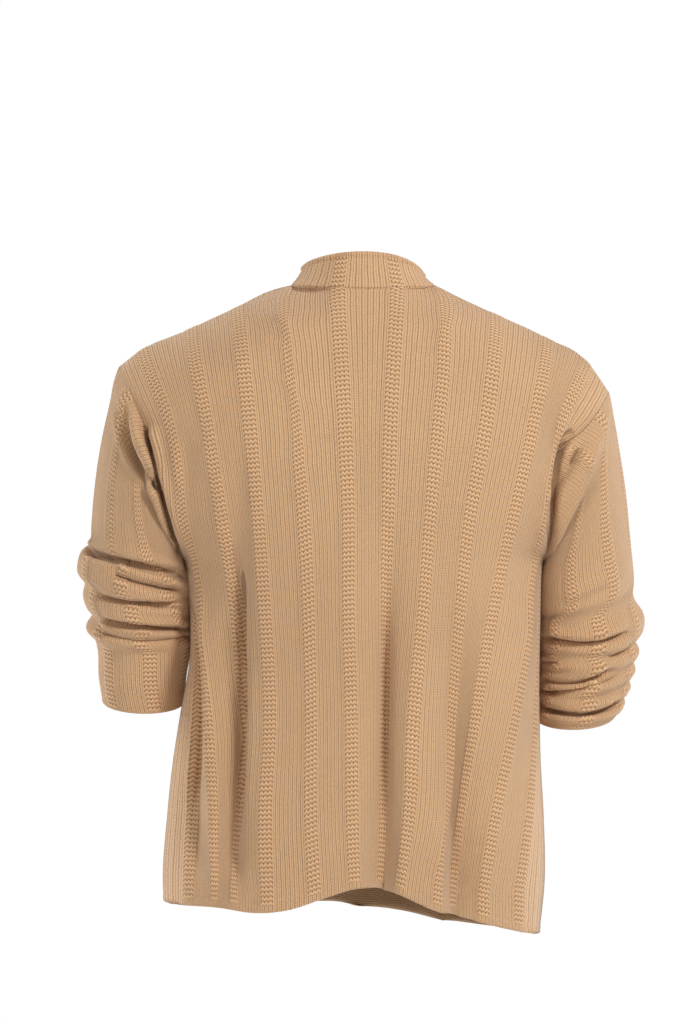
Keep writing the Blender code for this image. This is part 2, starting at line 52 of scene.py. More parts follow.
MM = 0.001
COLUMN_LINES = (-1.75, -1.5, -1.0, -0.5, 0.0, 0.5, 1.0, 1.5, 1.75)  # wales from a raised column's middle
LOG = logging.getLogger("sweater")


class Facing(Enum):
    """The half of the garment that a panel, a seam or a crease is on; +Y is behind."""

    BACK = 1.0
    FRONT = -1.0


class Side(Enum):
    """The wearer's side."""

    LEFT = "left"
    RIGHT = "right"


def table(names: str, *rows: tuple[float, ...], plain: tuple[str, ...] = ()) -> Table:
    """Names the columns of a short table.

    Args:
        names: The columns' names, with spaces between.
        rows: The table's rows, in millimetres.
        plain: Columns that are not lengths and keep their values.

    Returns:
        Each column as an array, in metres.
    """
    columns = np.array(rows, float).T
    return {name: column if name in plain else column * MM for name, column in zip(names.split(), columns)}


def curve(place: Array, knots: Array, values: Array) -> Array:
    """A smooth curve through a table's points, flat beyond its ends.

    Cubic Hermite pieces, h00 a + h10 w m_a + h01 b + h11 w m_b, with slopes from central differences.

    Args:
        place: Where the curve is read.
        knots: The points' places, rising or falling.
        values: The points' values; further axes are carried along.

    Returns:
        The curve's values at each place.
    """
    knots = np.asarray(knots, float)
    values = np.asarray(values, float)
    if knots[0] > knots[-1]:
        knots, values = knots[::-1], values[::-1]
    place = np.clip(place, knots[0], knots[-1])
    slopes = np.gradient(values, knots, axis=0)
    left = np.clip(np.searchsorted(knots, place, side="right") - 1, 0, len(knots) - 2)
    span = knots[left + 1] - knots[left]
    t = (place - knots[left]) / span
    extra = (...,) + (None,) * (values.ndim - 1)
    t, span = t[extra], span[extra]
    start = (2 * t**3 - 3 * t**2 + 1) * values[left] + (t**3 - 2 * t**2 + t) * span * slopes[left]
    end = (3 * t**2 - 2 * t**3) * values[left + 1] + (t**3 - t**2) * span * slopes[left + 1]
    return start + end


def ease(value: Array, start: float, end: float) -> Array:
    """Rises smoothly from 0 at start to 1 at end: 3 t^2 - 2 t^3."""
    t = np.clip((value - start) / (end - start), 0.0, 1.0)
    return t * t * (3.0 - 2.0 * t)


def lengths(points: Array) -> Array:
    """Length run along a polyline at each of its points, the first axis being the way along."""
    steps = np.linalg.norm(np.diff(points, axis=0), axis=-1)
    return np.concatenate([np.zeros_like(steps[:1]), np.cumsum(steps, axis=0)])


def along(points: Array, shares: Array) -> Array:
    """Points at the given shares of a polyline's length."""
    length = lengths(points)
    return np.column_stack([np.interp(shares * length[-1], length, points[:, axis]) for axis in range(3)])


def triangle(value: Array, period: float) -> Array:
    """Distance to the nearest whole multiple of the period."""
    return np.abs((value + period / 2) % period - period / 2)


@dataclass(frozen=True)
class Knit:
    """Stitch sizes on the flat cut and the lattice of raised columns."""

    wale: float = 4.5 * MM
    course: float = 2.5 * MM
    repeat: int = 11  # wales from one raised column to the next
    column_edge: float = 1.5  # wales from a column's middle to its edge
    slope: float = 0.25  # wales from the edge down to the plain knit
    gutter_width: float = 0.3  # wales
    rise: float = 0.35 * MM
    ridge: float = 0.18 * MM
    gutter: float = 0.4 * MM
    tooth: float = 0.20  # how far a ridge zigzags, as a share of its period
    period: float = 2.0  # courses from one purl ridge to the next

    @property
    def pitch(self) -> float:
        """Flat distance from one raised column to the next."""
        return self.repeat * self.wale

    def relief(self, wales: Array, courses: Array) -> Array:
        """Height of the outer face over the plain knit.

        A plateau over each column, plus ridge times the cosine of a course count that zigzags
        with the wale, less a narrow gutter down each side of the column.

        Args:
            wales: Wales across, with a column's middle at each multiple of the repeat.
            courses: Courses up.

        Returns:
            Heights in metres.
        """
        away = triangle(wales, self.repeat)
        plateau = 1.0 - ease(away, self.column_edge - 0.05, self.column_edge + self.slope)
        zigzag = 4.0 * triangle(wales, 1.0) - 1.0
        ridges = np.cos(2 * math.pi * (courses / self.period + self.tooth * zigzag))
        gutter = np.exp(-(((away - self.column_edge - self.gutter_width) / self.gutter_width) ** 2))
        return plateau * (self.rise + self.ridge * ridges) - self.gutter * gutter


@dataclass(frozen=True)
class Cloth:
    """Thickness of the knit and how it thins to its edges and seams."""

    wall: float = 3.0 * MM
    seam_reach: float = 3.0 * MM
    seam_share: float = 0.97  # of the half wall, at a seam
    crease_reach: float = 12 * MM  # a piece's own creases fade out this far from its seams
    rim_radius: float = 1.8 * MM
    longest_mitre: float = 1.3


@dataclass(frozen=True)
class Cut:
    """Flat half widths of the panels and sleeves, in pitches of the columns."""

    knit: Knit = Knit()
    panel: float = 6.0
    shoulder: float = 5.0
    neck: float = 1.5
    cap: float = 5.0
    sleeve_last: float = 2.25
    closest: float = 0.2  # wales between an edge and the next line, at least

    def lines(self, low: float, high: float, plain: int = 3) -> Array:
        """Flat places of grid lines, dense over each raised column.

        Args:
            low: Lowest place, in wales.
            high: Highest place, in wales.
            plain: Lines between two columns' flanks.

        Returns:
            Places in wales, from low to high.
        """
        first = math.floor(low / self.knit.repeat)
        last = math.ceil(high / self.knit.repeat)
        flank = COLUMN_LINES[-1]
        between = np.linspace(flank, self.knit.repeat - flank, plain + 2)[1:-1]
        repeat = np.concatenate([COLUMN_LINES, between])
        places = (np.arange(first, last + 1)[:, None] * self.knit.repeat + repeat).ravel()
        inside = places[(places > low + self.closest) & (places < high - self.closest)]
        return np.concatenate([[low], inside, [high]])


@dataclass(frozen=True)
class NeckSeam:
    """The oval seam round the neck, and the shoulder seams that end on it."""

    centre: float = 3 * MM
    side: float = 76 * MM
    back: float = 68 * MM
    front: float = 88 * MM
    back_drop: float = 5 * MM
    front_drop: float = 44 * MM
    shoulder: Table = field(default_factory=lambda: table(
        "across height",
        (-259, -114),
        (-239, -85),
        (-192, -56),
        (-136, -30),
        (-105, -16),
        (-73, 0),
        (79, 0),
        (101, -6),
        (139, -24),
        (195, -50),
        (241, -70),
        (263, -87),
    ))

    def point(self, angle: Array) -> Array:
        """Points of the seam, an oval that sinks by the square of the sine of the angle.

        Args:
            angle: 0 at the wearer's left neck point, a quarter turn at the back.

        Returns:
            Points, one row each.
        """
        behind = np.sin(angle)
        depth = np.where(behind > 0, self.back, self.front)
        drop = np.where(behind > 0, self.back_drop, self.front_drop)
        across = self.centre + self.side * np.cos(angle)
        return np.stack([across, depth * behind, -drop * behind**2], axis=-1)

    def top_edge(self, across: Array, facing: Facing) -> tuple[Array, Array]:
        """Depth and height of a panel's top edge at places across the body."""
        angle = np.arccos(np.clip((across - self.centre) / self.side, -1.0, 1.0)) * facing.value
        neck = self.point(angle)
        height = curve(across, self.shoulder["across"], self.shoulder["height"])
        at_neck = np.abs(across - self.centre) < self.side
        return np.where(at_neck, neck[..., 1], 0.0), np.where(at_neck, neck[..., 2], height)


@dataclass(frozen=True)
class Armholes:
    """The two armhole seams: shoulder and underarm points, half depth, and how far they bow inward."""

    left_top: tuple[float, float, float] = (263, 0, -87)
    left_bottom: tuple[float, float, float] = (194, -4, -292)
    left_depth: float = 62
    right_top: tuple[float, float, float] = (-259, 0, -114)
    right_bottom: tuple[float, float, float] = (-190, -4, -292)
    right_depth: float = 60
    samples: int = 241
    bow: Table = field(default_factory=lambda: table(
        "share left_back right_back front",
        (0.00, 0, 0, 0),
        (0.20, 6, 10, 4),
        (0.38, 10, 32, 8),
        (0.50, 10, 28, 9),
        (0.70, 4, 13, 6),
        (0.85, 1, 4, 2),
        (1.00, 0, 0, 0),
        plain=("share",),
    ))

    def seam(self, side: Side, facing: Facing) -> Array:
        """The seam from shoulder to underarm as a dense polyline.

        Half an ellipse between the two points, pulled towards the body by the bow.

        Args:
            side: The wearer's side.
            facing: Behind or in front.

        Returns:
            Points, one row each.
        """
        left = side is Side.LEFT
        top = np.array(self.left_top if left else self.right_top) * MM
        bottom = np.array(self.left_bottom if left else self.right_bottom) * MM
        depth = (self.left_depth if left else self.right_depth) * MM
        angle = np.linspace(0.0, math.pi, self.samples)
        share = (1.0 - np.cos(angle)) / 2.0
        points = top + (bottom - top) * share[:, None]
        points[:, 1] += facing.value * depth * np.sin(angle)
        bow = self.bow[f"{side.value}_back"] if facing is Facing.BACK else self.bow["front"]
        points[:, 0] -= math.copysign(1.0, top[0]) * curve(share, self.bow["share"], bow)
        return points


@dataclass(frozen=True)
class Creases:
    """Narrow creases, each along a bend through three points seen from behind or in front."""

    facing: Facing
    rows: Table
    turned: tuple[float, float] = (0.02, 0.30)  # slopes to the view where they fade in
    swell_place: float = 2.2  # widths from the path
    swell_width: float = 1.3
    swell_below: float = 0.18  # of the depth
    swell_more: float = 0.22  # of the depth, above the path

    def push(self, points: Array, normals: Array) -> Array:
        """How far each point is pushed out by the creases.

        A crease is -depth exp(-(d/width)^2), with a soft swell on each side that is higher above,
        d being the distance to its path as it is seen, and it fades at both ends.

        Args:
            points: Cloth points, any shape with three coordinates last.
            normals: Outward directions of the same shape.

        Returns:
            Distances along the normals.
        """
        facing = ease(normals[..., 1] * self.facing.value, *self.turned)
        seen = points[..., [0, 2]]
        total = np.zeros(points.shape[:-1])
        for x0, z0, x1, z1, x2, z2, depth, width, fade in zip(*self.rows.values()):
            start, bend, end = np.array([x0, z0]), np.array([x1, z1]), np.array([x2, z2])
            through = 2 * bend - (start + end) / 2
            long = np.linalg.norm(bend - start) + np.linalg.norm(end - bend)
            t = np.linspace(0.0, 1.0, 2 + int(4 * long / width))[:, None]
            path = (1 - t) ** 2 * start + 2 * t * (1 - t) * through + t**2 * end
            low, high = path.min(0) - 5 * width, path.max(0) + 5 * width
            near = np.all((seen > low) & (seen < high), axis=-1) & (facing > 0)
            if not near.any():
                continue
            gap = seen[near][:, None, :] - path
            square = (gap**2).sum(-1)
            closest = square.argmin(1)
            distance = np.sqrt(square.min(1))
            above = ease(gap[np.arange(len(closest)), closest, 1], -width / 2, width / 2)
            run = t[closest, 0]
            strength = ease(run, 0.0, fade) * (1 - ease(run, 1 - fade, 1.0))
            trough = np.exp(-((distance / width) ** 2))
            swell = np.exp(-(((distance - self.swell_place * width) / (self.swell_width * width)) ** 2))
            height = self.swell_below + self.swell_more * above
            total[near] += strength * depth * (swell * height - trough)
        return total * facing


def creases(facing: Facing, *rows: tuple[float, ...]) -> Creases:
    """Creases from rows of three points across and up, depth, width and share of fading."""
    return Creases(facing, table("x0 z0 x1 z1 x2 z2 depth width fade", *rows, plain=("fade",)))


@dataclass
class Wall:
    """One closed wall of cloth over a grid of middle points, finer outside than inside."""

    name: str
    points: Array
    wales: Array
    ring: bool
    outward: float
    seam_edge: Array
    creases: tuple[Creases, ...] = ()
    free_first: bool = True  # the free edge is the first row, or else the last
    band: float = 9 * MM
    band_swell: float = 0.4 * MM
    bump_swell: float = 0.0
    seam_columns: float = 1000.0  # wales; columns up to here start at the seam
    last_columns: float = 1000.0  # wales; further on the cloth is plain
    late_start: float = 70 * MM  # where the columns between the two are full
    late_rise: float = 12 * MM
    cloth: Cloth = Cloth()
    knit: Knit = Knit()
    inner_rows: int = 4
    inner_columns: int = 3

    def normals(self) -> Array:
        """Outward unit directions: the cross product of the grid's two central differences."""
        grid = self.points
        if self.ring:
            side = np.roll(grid, -1, axis=1) - np.roll(grid, 1, axis=1)
        else:
            side = np.gradient(grid, axis=1)
        rise = np.gradient(grid, axis=0)
        cross = np.cross(side, rise) * self.outward
        return cross / np.maximum(np.linalg.norm(cross, axis=2, keepdims=True), 1e-12)

    @property
    def border(self) -> NDArray[np.bool_]:
        """Marks the grid points that lie on a seam."""
        return self.seam_edge <= 1e-9

    @property
    def free_edge(self) -> Array:
        """Length from each point to the hem, the cuff or the collar's top, along its own line."""
        run = lengths(self.points)
        return run if self.free_first else run[-1] - run

    @property
    def columned(self) -> Array:
        """1 where the raised columns are knitted, 0 on the plain band and towards an underarm."""
        late = ease(self.seam_edge, self.late_start - self.late_rise, self.late_start)
        columned = np.where(self.wales < self.seam_columns, 1.0, late * (self.wales < self.last_columns))
        return columned * ease(self.free_edge, 0.7 * self.band, self.band)

    @property
    def courses(self) -> Array:
        """Courses from the free edge."""
        return self.free_edge / self.knit.course

    def bead(self) -> Array:
        """How much the rolled band at the free edge swells, with one bump for each wale.

        The swell ends over the band's last fifth, and a soft tuck follows just past the band.
        """
        over = 1.0 - ease(self.free_edge, 0.8 * self.band, self.band)
        tuck = np.exp(-(((self.free_edge - 1.05 * self.band) / (0.2 * self.band)) ** 2))
        bumps = self.bump_swell * np.cos(2 * math.pi * self.wales)
        return over * (self.band_swell + bumps) - tuck * self.band_swell / 2

    def pressed(self, ways: Array) -> None:
        """Presses the creases in along unit directions that are shared at the seams.

        Args:
            ways: Directions of the grid's points.
        """
        for creases in self.creases:
            push = creases.push(self.points, ways) * ease(self.seam_edge, 0.0, self.cloth.crease_reach)
            self.points = self.points + ways * push[..., None]
        for creases in SEAM_CREASES:
            self.points = self.points + ways * creases.push(self.points, ways)[..., None]

    def skins(self, ways: Array) -> tuple[Array, Array]:
        """Outer and inner points.

        Half the wall either way along the mitred normals, thinned towards seams, rounded to the
        free edges as a quarter circle, with the columns' relief and the edge's bead outside.

        Args:
            ways: Direction of each point's offset, longer than 1 where seams are mitred.

        Returns:
            Outer points and inner points.
        """
        cloth = self.cloth
        seam = cloth.seam_share + (1 - cloth.seam_share) * ease(self.seam_edge, 0.0, cloth.seam_reach)
        short = np.clip(1.0 - self.free_edge / cloth.rim_radius, 0.0, 1.0)
        rim = np.sqrt(np.maximum(1.0 - short**2, 0.02))
        relief = self.knit.relief(self.wales, self.courses) * ease(self.seam_edge, 0.0, cloth.seam_reach)
        relief = relief * self.columned
        outside = self.points + ways * ((cloth.wall / 2 * seam + relief + self.bead()) * rim)[..., None]
        inside = self.points - ways * ((cloth.wall / 2 + np.maximum(self.bead(), 0.0)) * rim)[..., None]
        return outside, inside

    def build(self, ways: Array) -> bpy.types.Object:
        """Makes the mesh: outer quads, coarser inner quads, and edge faces that join the two.

        Args:
            ways: Offset directions from the mitred seams.

        Returns:
            The new object, with the flat cut as its UV map.
        """
        outside, inside = self.skins(ways)
        rows, columns = self.points.shape[:2]
        keep_rows = np.unique(np.append(np.arange(0, rows, self.inner_rows), rows - 1))
        wrap = columns if self.ring else columns - 1
        last = [] if self.ring else [columns - 1]
        keep_columns = np.unique(np.append(np.arange(0, wrap, self.inner_columns), last)).astype(int)
        inner_points = inside[np.ix_(keep_rows, keep_columns)]
        outer_index = np.arange(rows * columns).reshape(rows, columns)
        inner_index = rows * columns + np.arange(inner_points.shape[0] * inner_points.shape[1])
        inner_index = inner_index.reshape(inner_points.shape[:2])
        faces = self.quads(outer_index) + [face[::-1] for face in self.quads(inner_index)]
        faces += self.rims(outer_index, inner_index, keep_rows, keep_columns)
        points = np.concatenate([outside.reshape(-1, 3), inner_points.reshape(-1, 3)])
        flat = np.stack([self.wales, self.courses], axis=-1)
        flat = np.concatenate([flat.reshape(-1, 2), flat[np.ix_(keep_rows, keep_columns)].reshape(-1, 2)])
        if self.outward < 0:
            faces = [face[::-1] for face in faces]
        mesh = bpy.data.meshes.new(self.name)
        mesh.from_pydata(points.tolist(), [], faces)
        mesh.update()
        corners = np.empty(len(mesh.loops), np.int32)
        mesh.loops.foreach_get("vertex_index", corners)
        uv = mesh.uv_layers.new(name="flat_cut")
        uv.data.foreach_set("uv", flat[corners].astype(np.float32).ravel())
        columned = self.columned
        columned = np.concatenate([columned.ravel(), columned[np.ix_(keep_rows, keep_columns)].ravel()])
        mask = mesh.attributes.new("columned", "FLOAT", "POINT")
        mask.data.foreach_set("value", columned.astype(np.float32))
        mesh.shade_smooth()
        inner_start = (rows - 1) * wrap
        reverse = np.zeros(len(mesh.polygons), np.int32)
        reverse[inner_start : inner_start + (len(keep_rows) - 1) * len(self.quads(inner_index[:2]))] = 1
        mesh.polygons.foreach_set("material_index", reverse)
        thing = bpy.data.objects.new(self.name, mesh)
        bpy.context.scene.collection.objects.link(thing)
        return thing

    def quads(self, index: NDArray[np.int64]) -> list[list[int]]:
        """Faces of a grid of vertex numbers, wound with the columns first."""
        after = np.roll(index, -1, axis=1) if self.ring else index[:, 1:]
        before = index if self.ring else index[:, :-1]
        corners = np.stack([before[:-1], after[:-1], after[1:], before[1:]], axis=-1)
        return corners.reshape(-1, 4).tolist()

    def rims(
        self,
        outer: NDArray[np.int64],
        inner: NDArray[np.int64],
        keep_rows: NDArray[np.int64],
        keep_columns: NDArray[np.int64],
    ) -> list[list[int]]:
        """Faces between the fine outer edge and the coarse inner edge, one for each inner step.

        Args:
            outer: Vertex numbers of the outer grid.
            inner: Vertex numbers of the inner grid.
            keep_rows: Outer rows that the inner grid keeps.
            keep_columns: Outer columns that it keeps.

        Returns:
            The faces.
        """
        found = []
        columns = outer.shape[1]
        for row, inner_row, flip in ((0, 0, False), (-1, -1, True)):
            stops = list(keep_columns) + ([columns] if self.ring else [])
            for step in range(len(stops) - 1):
                fine = [int(outer[row, at % columns]) for at in range(stops[step], stops[step + 1] + 1)]
                coarse = [int(inner[inner_row, (step + 1) % inner.shape[1]]), int(inner[inner_row, step])]
                face = fine[::-1] + coarse[::-1]
                found.append(face[::-1] if flip else face)
        for column, flip in () if self.ring else ((0, True), (-1, False)):
            for step in range(len(keep_rows) - 1):
                fine = [int(outer[at, column]) for at in range(keep_rows[step], keep_rows[step + 1] + 1)]
                coarse = [int(inner[step + 1, column]), int(inner[step, column])]
                face = fine[::-1] + coarse[::-1]
                found.append(face[::-1] if flip else face)
        return found


SEAM_REACH = 3 * MM  # between points of two pieces that share a seam


def mitred(walls: list[Wall], stretch: bool) -> dict[str, Array]:
    """Directions out of all walls, shared across their seams.

    At a seam each point adds the normals of the nearest seam point of every other piece within
    reach, so that two pieces meet in a mitre of the same height.

    Args:
        walls: The garment's walls.
        stretch: Lengthens a shared direction as a mitre needs; otherwise all have length 1.

    Returns:
        Directions by wall name.
    """
    own = {wall.name: wall.normals() for wall in walls}
    ends = {wall.name: (wall.points[wall.border], own[wall.name][wall.border]) for wall in walls}
    ways = {}
    for wall in walls:
        places, normals = ends[wall.name]
        total = normals.copy()
        for other in walls:
            if other is wall or not len(places) or not len(ends[other.name][0]):
                continue
            others, other_normals = ends[other.name]
            square = ((places[:, None, :] - others) ** 2).sum(-1)
            nearest = square.argmin(1)
            total += other_normals[nearest] * (square.min(1) < SEAM_REACH**2)[:, None]
        way = total / np.linalg.norm(total, axis=1, keepdims=True)
        lean = np.ones(len(way))
        if stretch:
            lean = np.maximum((way * normals).sum(1), 1.0 / wall.cloth.longest_mitre)
        offsets = own[wall.name].copy()
        offsets[wall.border] = way / lean[:, None]
        ways[wall.name] = offsets
    return ways


@dataclass
class Panel:
    """The back or the front: a fine grid from hem to shoulders on the worn body's form."""

    facing: Facing
    cut: Cut = Cut()
    knit: Knit = Knit()
    neck: NeckSeam = field(default_factory=NeckSeam)
    armholes: Armholes = field(default_factory=Armholes)
    rim_rows: tuple[float, ...] = (0.0, 0.25, 0.6)
    hem_rows: int = 300
    yoke_rows: int = 278
    samples: int = 120
    ridge_drop: float = 70 * MM
    neck_start: float = math.radians(42)
    neck_flare: float = 10 * MM
    flare_in: tuple[float, float] = (0.0, 0.06)  # shares of the way down from the top edge
    flare_out: tuple[float, float] = (0.12, 0.4)
    beside_neck: tuple[float, float] = (1.0, 1.8)  # in the neck seam's half widths
    near_neck: tuple[float, float] = (0.8, 1.6)
    closing: tuple[float, float] = (0.0, 0.3)  # shares of the way up the yoke
    drawn_in: tuple[float, float] = (0.6, 0.95)
    joining: tuple[float, float] = (0.7, 1.0)  # shares of the way up the body
    oval_power: float = 2.2
    deepest_fold: float = 0.75  # of the half ellipse's depth
    track_fade: float = 40 * MM  # over which a column's worn track is given up above its end
    even_turns: int = 7
    soft_turns: int = 160  # in all, beside neck points and underarms
    soft_weight: float = 0.8
    soft_near: float = 50 * MM
    soft_far: float = 100 * MM
    body: Table = field(default_factory=lambda: table(
        "height left right back front",
        (-690, 212, -185, 116, 126),
        (-640, 216, -190, 116, 126),
        (-563, 211, -189, 114, 124),
        (-507, 205, -186, 112, 122),
        (-462, 198, -185, 112, 122),
        (-394, 187, -185, 116, 124),
        (-341, 188, -187, 119, 127),
        (-292, 194, -190, 120, 128),
    ))
    yoke: Table = field(default_factory=lambda: table(
        "height back front",
        (-292, 120, 128),
        (-220, 119, 126),
        (-150, 113, 118),
        (-90, 102, 108),
        (-44, 88, 96),
        (0, 74, 84),
    ))
    hem_back: Table = field(default_factory=lambda: table(
        "across height",
        (-190, -693),
        (-146, -680),
        (-104, -668),
        (-70, -658),
        (-36, -642),
        (8, -635),
        (42, -645),
        (80, -658),
        (115, -662),
        (155, -658),
        (214, -659),
    ))
    hem_front: Table = field(default_factory=lambda: table(
        "across height",
        (-190, -693),
        (-140, -693),
        (-88, -688),
        (-36, -679),
        (22, -671),
        (100, -669),
        (165, -664),
        (214, -659),
    ))
    columns: dict[float, tuple[float, ...]] = field(default_factory=lambda: {
        5.5: (187, 182, 178, 188),
        4.5: (159, 161, 167, 180, 193, 209, 238, 262),
        3.5: (139, 134, 130, 138, 151, 168, 182, 192),
        2.5: (104, 106, 101, 107, 113, 123, 131, 139),
        1.5: (54, 58, 58, 61, 65, 74, 81, 88),
        0.5: (12, 15, 16, 19, 19, 23, 27, 31),
        -0.5: (-13, -18, -18, -20, -22, -25, -29, -34),
        -1.5: (-33, -44, -49, -60, -66, -76, -83, -90),
        -2.5: (-75, -84, -90, -99, -107, -126, -135, -144),
        -3.5: (-90, -99, -114, -135, -153, -177, -192, -206),
        -4.5: (-123, -136, -158, -180, -188, -206, -240, -262),
        -5.5: (-161, -173, -180, -184),
    })
    column_heights: tuple[float, ...] = (-642, -563, -459, -335, -254, -144, -74, 0)
    back_folds: Table = field(default_factory=lambda: table(
        "x_top x_middle x_bottom depth wide_left wide_right start full hold end",
        (192, 177, 175, 24, 32, 6, -275, -400, -560, -645),
        (128, 131, 136, 27, 30, 7, -160, -390, -598, -655),
        (-23, -20, -14, 24, 26, 22, -160, -480, -700, -720),
        (-82, -86, -92, 22, 13, 40, -260, -520, -700, -720),
        (187, 187, 187, 6, 15, 15, -140, -180, -230, -270),
    ))
    front_folds: Table = field(default_factory=lambda: table(
        "x_top x_middle x_bottom depth wide_left wide_right start full hold end",
        (150, 152, 163, 24, 28, 10, -210, -450, -600, -690),
        (84, 91, 92, 20, 16, 34, -230, -500, -700, -720),
        (12, 10, 4, 24, 30, 34, -170, -520, -700, -720),
        (-70, -80, -84, 18, 28, 15, -250, -480, -700, -720),
        (-140, -142, -150, 25, 10, 30, -200, -430, -600, -690),
    ))

    @property
    def name(self) -> str:
        """The node that the panel stands for."""
        return "back" if self.facing is Facing.BACK else "front"

    def fold_depth(self, across: Array, height: Array) -> Array:
        """Depth of all troughs; a slope of a trough is half a cosine wave.

        Args:
            across: Places across the body.
            height: Heights of the same points.

        Returns:
            Depths in metres.
        """
        folds = self.back_folds if self.facing is Facing.BACK else self.front_folds
        total = np.zeros_like(across)
        for row in zip(*folds.values()):
            x_top, x_middle, x_bottom, depth, wide_left, wide_right, start, full, hold, end = row
            share = np.clip((height - start) / (end - start), 0.0, 1.0)
            bend = 4 * share * (1 - share) * (x_middle - (x_top + x_bottom) / 2)
            away = across - (x_top + (x_bottom - x_top) * share + bend)
            width = np.where(away > 0, wide_left, wide_right)
            profile = 0.5 + 0.5 * np.cos(math.pi * np.clip(np.abs(away) / width, 0.0, 1.0))
            strength = ease(-height, -start, -full) * (1.0 - ease(-height, -hold, -end))
            total += depth * strength * profile
        return total

    def body_line(self, share: float) -> Array:
        """A row round the worn body, a half ellipse between its edges less the folds.

        Args:
            share: 0 at the hem, 1 at the underarm.

        Returns:
            A dense line from the wearer's right to left.
        """
        hem = self.hem_back if self.facing is Facing.BACK else self.hem_front
        turn = np.linspace(-math.pi / 2, math.pi / 2, 3 * self.samples + 1)
        underarm = self.body["height"][-1]
        right, left = hem["across"][[0, -1]]
        at_hem = (right + left + (left - right) * np.sin(turn)) / 2
        hem_height = curve(at_hem, hem["across"], hem["height"])
        height = hem_height + (underarm - hem_height) * share
        left = curve(height, self.body["height"], self.body["left"])
        right = curve(height, self.body["height"], self.body["right"])
        across = (left + right) / 2 + (left - right) / 2 * np.sin(turn)
        depth = curve(height, self.body["height"], self.body[self.name]) * np.cos(turn)
        limit = self.deepest_fold * depth + 1e-9
        depth = depth - limit * np.tanh(self.fold_depth(across, height) / limit)
        return np.column_stack([across, self.facing.value * depth, height])

    def top_places(self) -> Array:
        """Places across the top edge from right to left; two of them are the neck points."""
        right, left = self.neck.shoulder["across"][[0, -1]]
        neck = self.neck.centre - self.neck.side * np.cos(np.linspace(0.0, math.pi, self.samples + 1))
        return np.concatenate([
            np.linspace(right, neck[0], self.samples, endpoint=False),
            neck,
            np.linspace(neck[-1], left, self.samples + 1)[1:],
        ])

    def yoke_line(self, left_seam: Array, right_seam: Array, share: float) -> Array:
        """A row over chest and shoulders.

        Each point goes down from the top edge, first along a quarter ellipse over the shoulder's
        ridge, then straight, and its depth is an oval between the two armhole points.

        Args:
            left_seam: The row's point on the wearer's left armhole.
            right_seam: The row's point on the right armhole.
            share: 0 at the underarm, 1 at the top edge.

        Returns:
            A dense line from right to left.
        """
        facing = self.facing.value
        top_across = self.top_places()
        place = np.interp(top_across, top_across[[0, -1]], (-1.0, 1.0))
        outer = np.abs(place)
        across = (left_seam[0] + right_seam[0] + place * (left_seam[0] - right_seam[0])) / 2
        top_depth, top_height = self.neck.top_edge(top_across, self.facing)
        across = across + (top_across - across) * ease(share, 0.0, 1.0) * (1.0 - outer**4)
        side = (top_across - self.neck.centre) / self.neck.side
        beside = np.clip(np.abs(side), 0.0, 1.0) ** 2 * (1.0 - ease(np.abs(side), *self.beside_neck))
        flare = ease(1.0 - share, *self.flare_in) * (1.0 - ease(1.0 - share, *self.flare_out))
        across = across + np.sign(side) * self.neck_flare * beside * flare

        underarm = self.body["height"][-1]
        start_angle = self.neck_start * (1.0 - ease(np.abs(side), *self.near_neck))
        full_depth = curve(top_height - self.ridge_drop, self.yoke["height"], self.yoke[self.name])
        arc = (math.pi / 2 - start_angle) * (self.ridge_drop + full_depth - facing * top_depth) / 2
        straight = top_height - self.ridge_drop * np.cos(start_angle) - underarm
        down = (1.0 - share) * (arc + straight)
        angle = start_angle + (math.pi / 2 - start_angle) * np.clip(down / arc, 0.0, 1.0)
        drop = self.ridge_drop * (np.cos(start_angle) - np.cos(angle)) + np.maximum(down - arc, 0.0)
        height = top_height - drop
        round_over = (np.sin(angle) - np.sin(start_angle)) / (1.0 - np.sin(start_angle))

        middle_depth = curve(height, self.yoke["height"], self.yoke[self.name])
        rise = ease(height, underarm, 0.0)
        power = 2.0 + (self.oval_power - 2.0) * rise
        section = np.maximum(1.0 - outer**power, 0.0) ** (0.5 + 0.2 * rise)
        seam_depth = facing * np.where(place > 0, left_seam[1], right_seam[1])
        depth = seam_depth + (middle_depth - seam_depth) * section
        depth = facing * top_depth + (depth - facing * top_depth) * round_over
        depth -= self.fold_depth(across, height) * (1.0 - outer**6)
        line = np.column_stack([across, facing * depth, height])
        pull = outer[:, None] ** 6
        return line + np.where(place[:, None] > 0, left_seam - line[-1], right_seam - line[0]) * pull

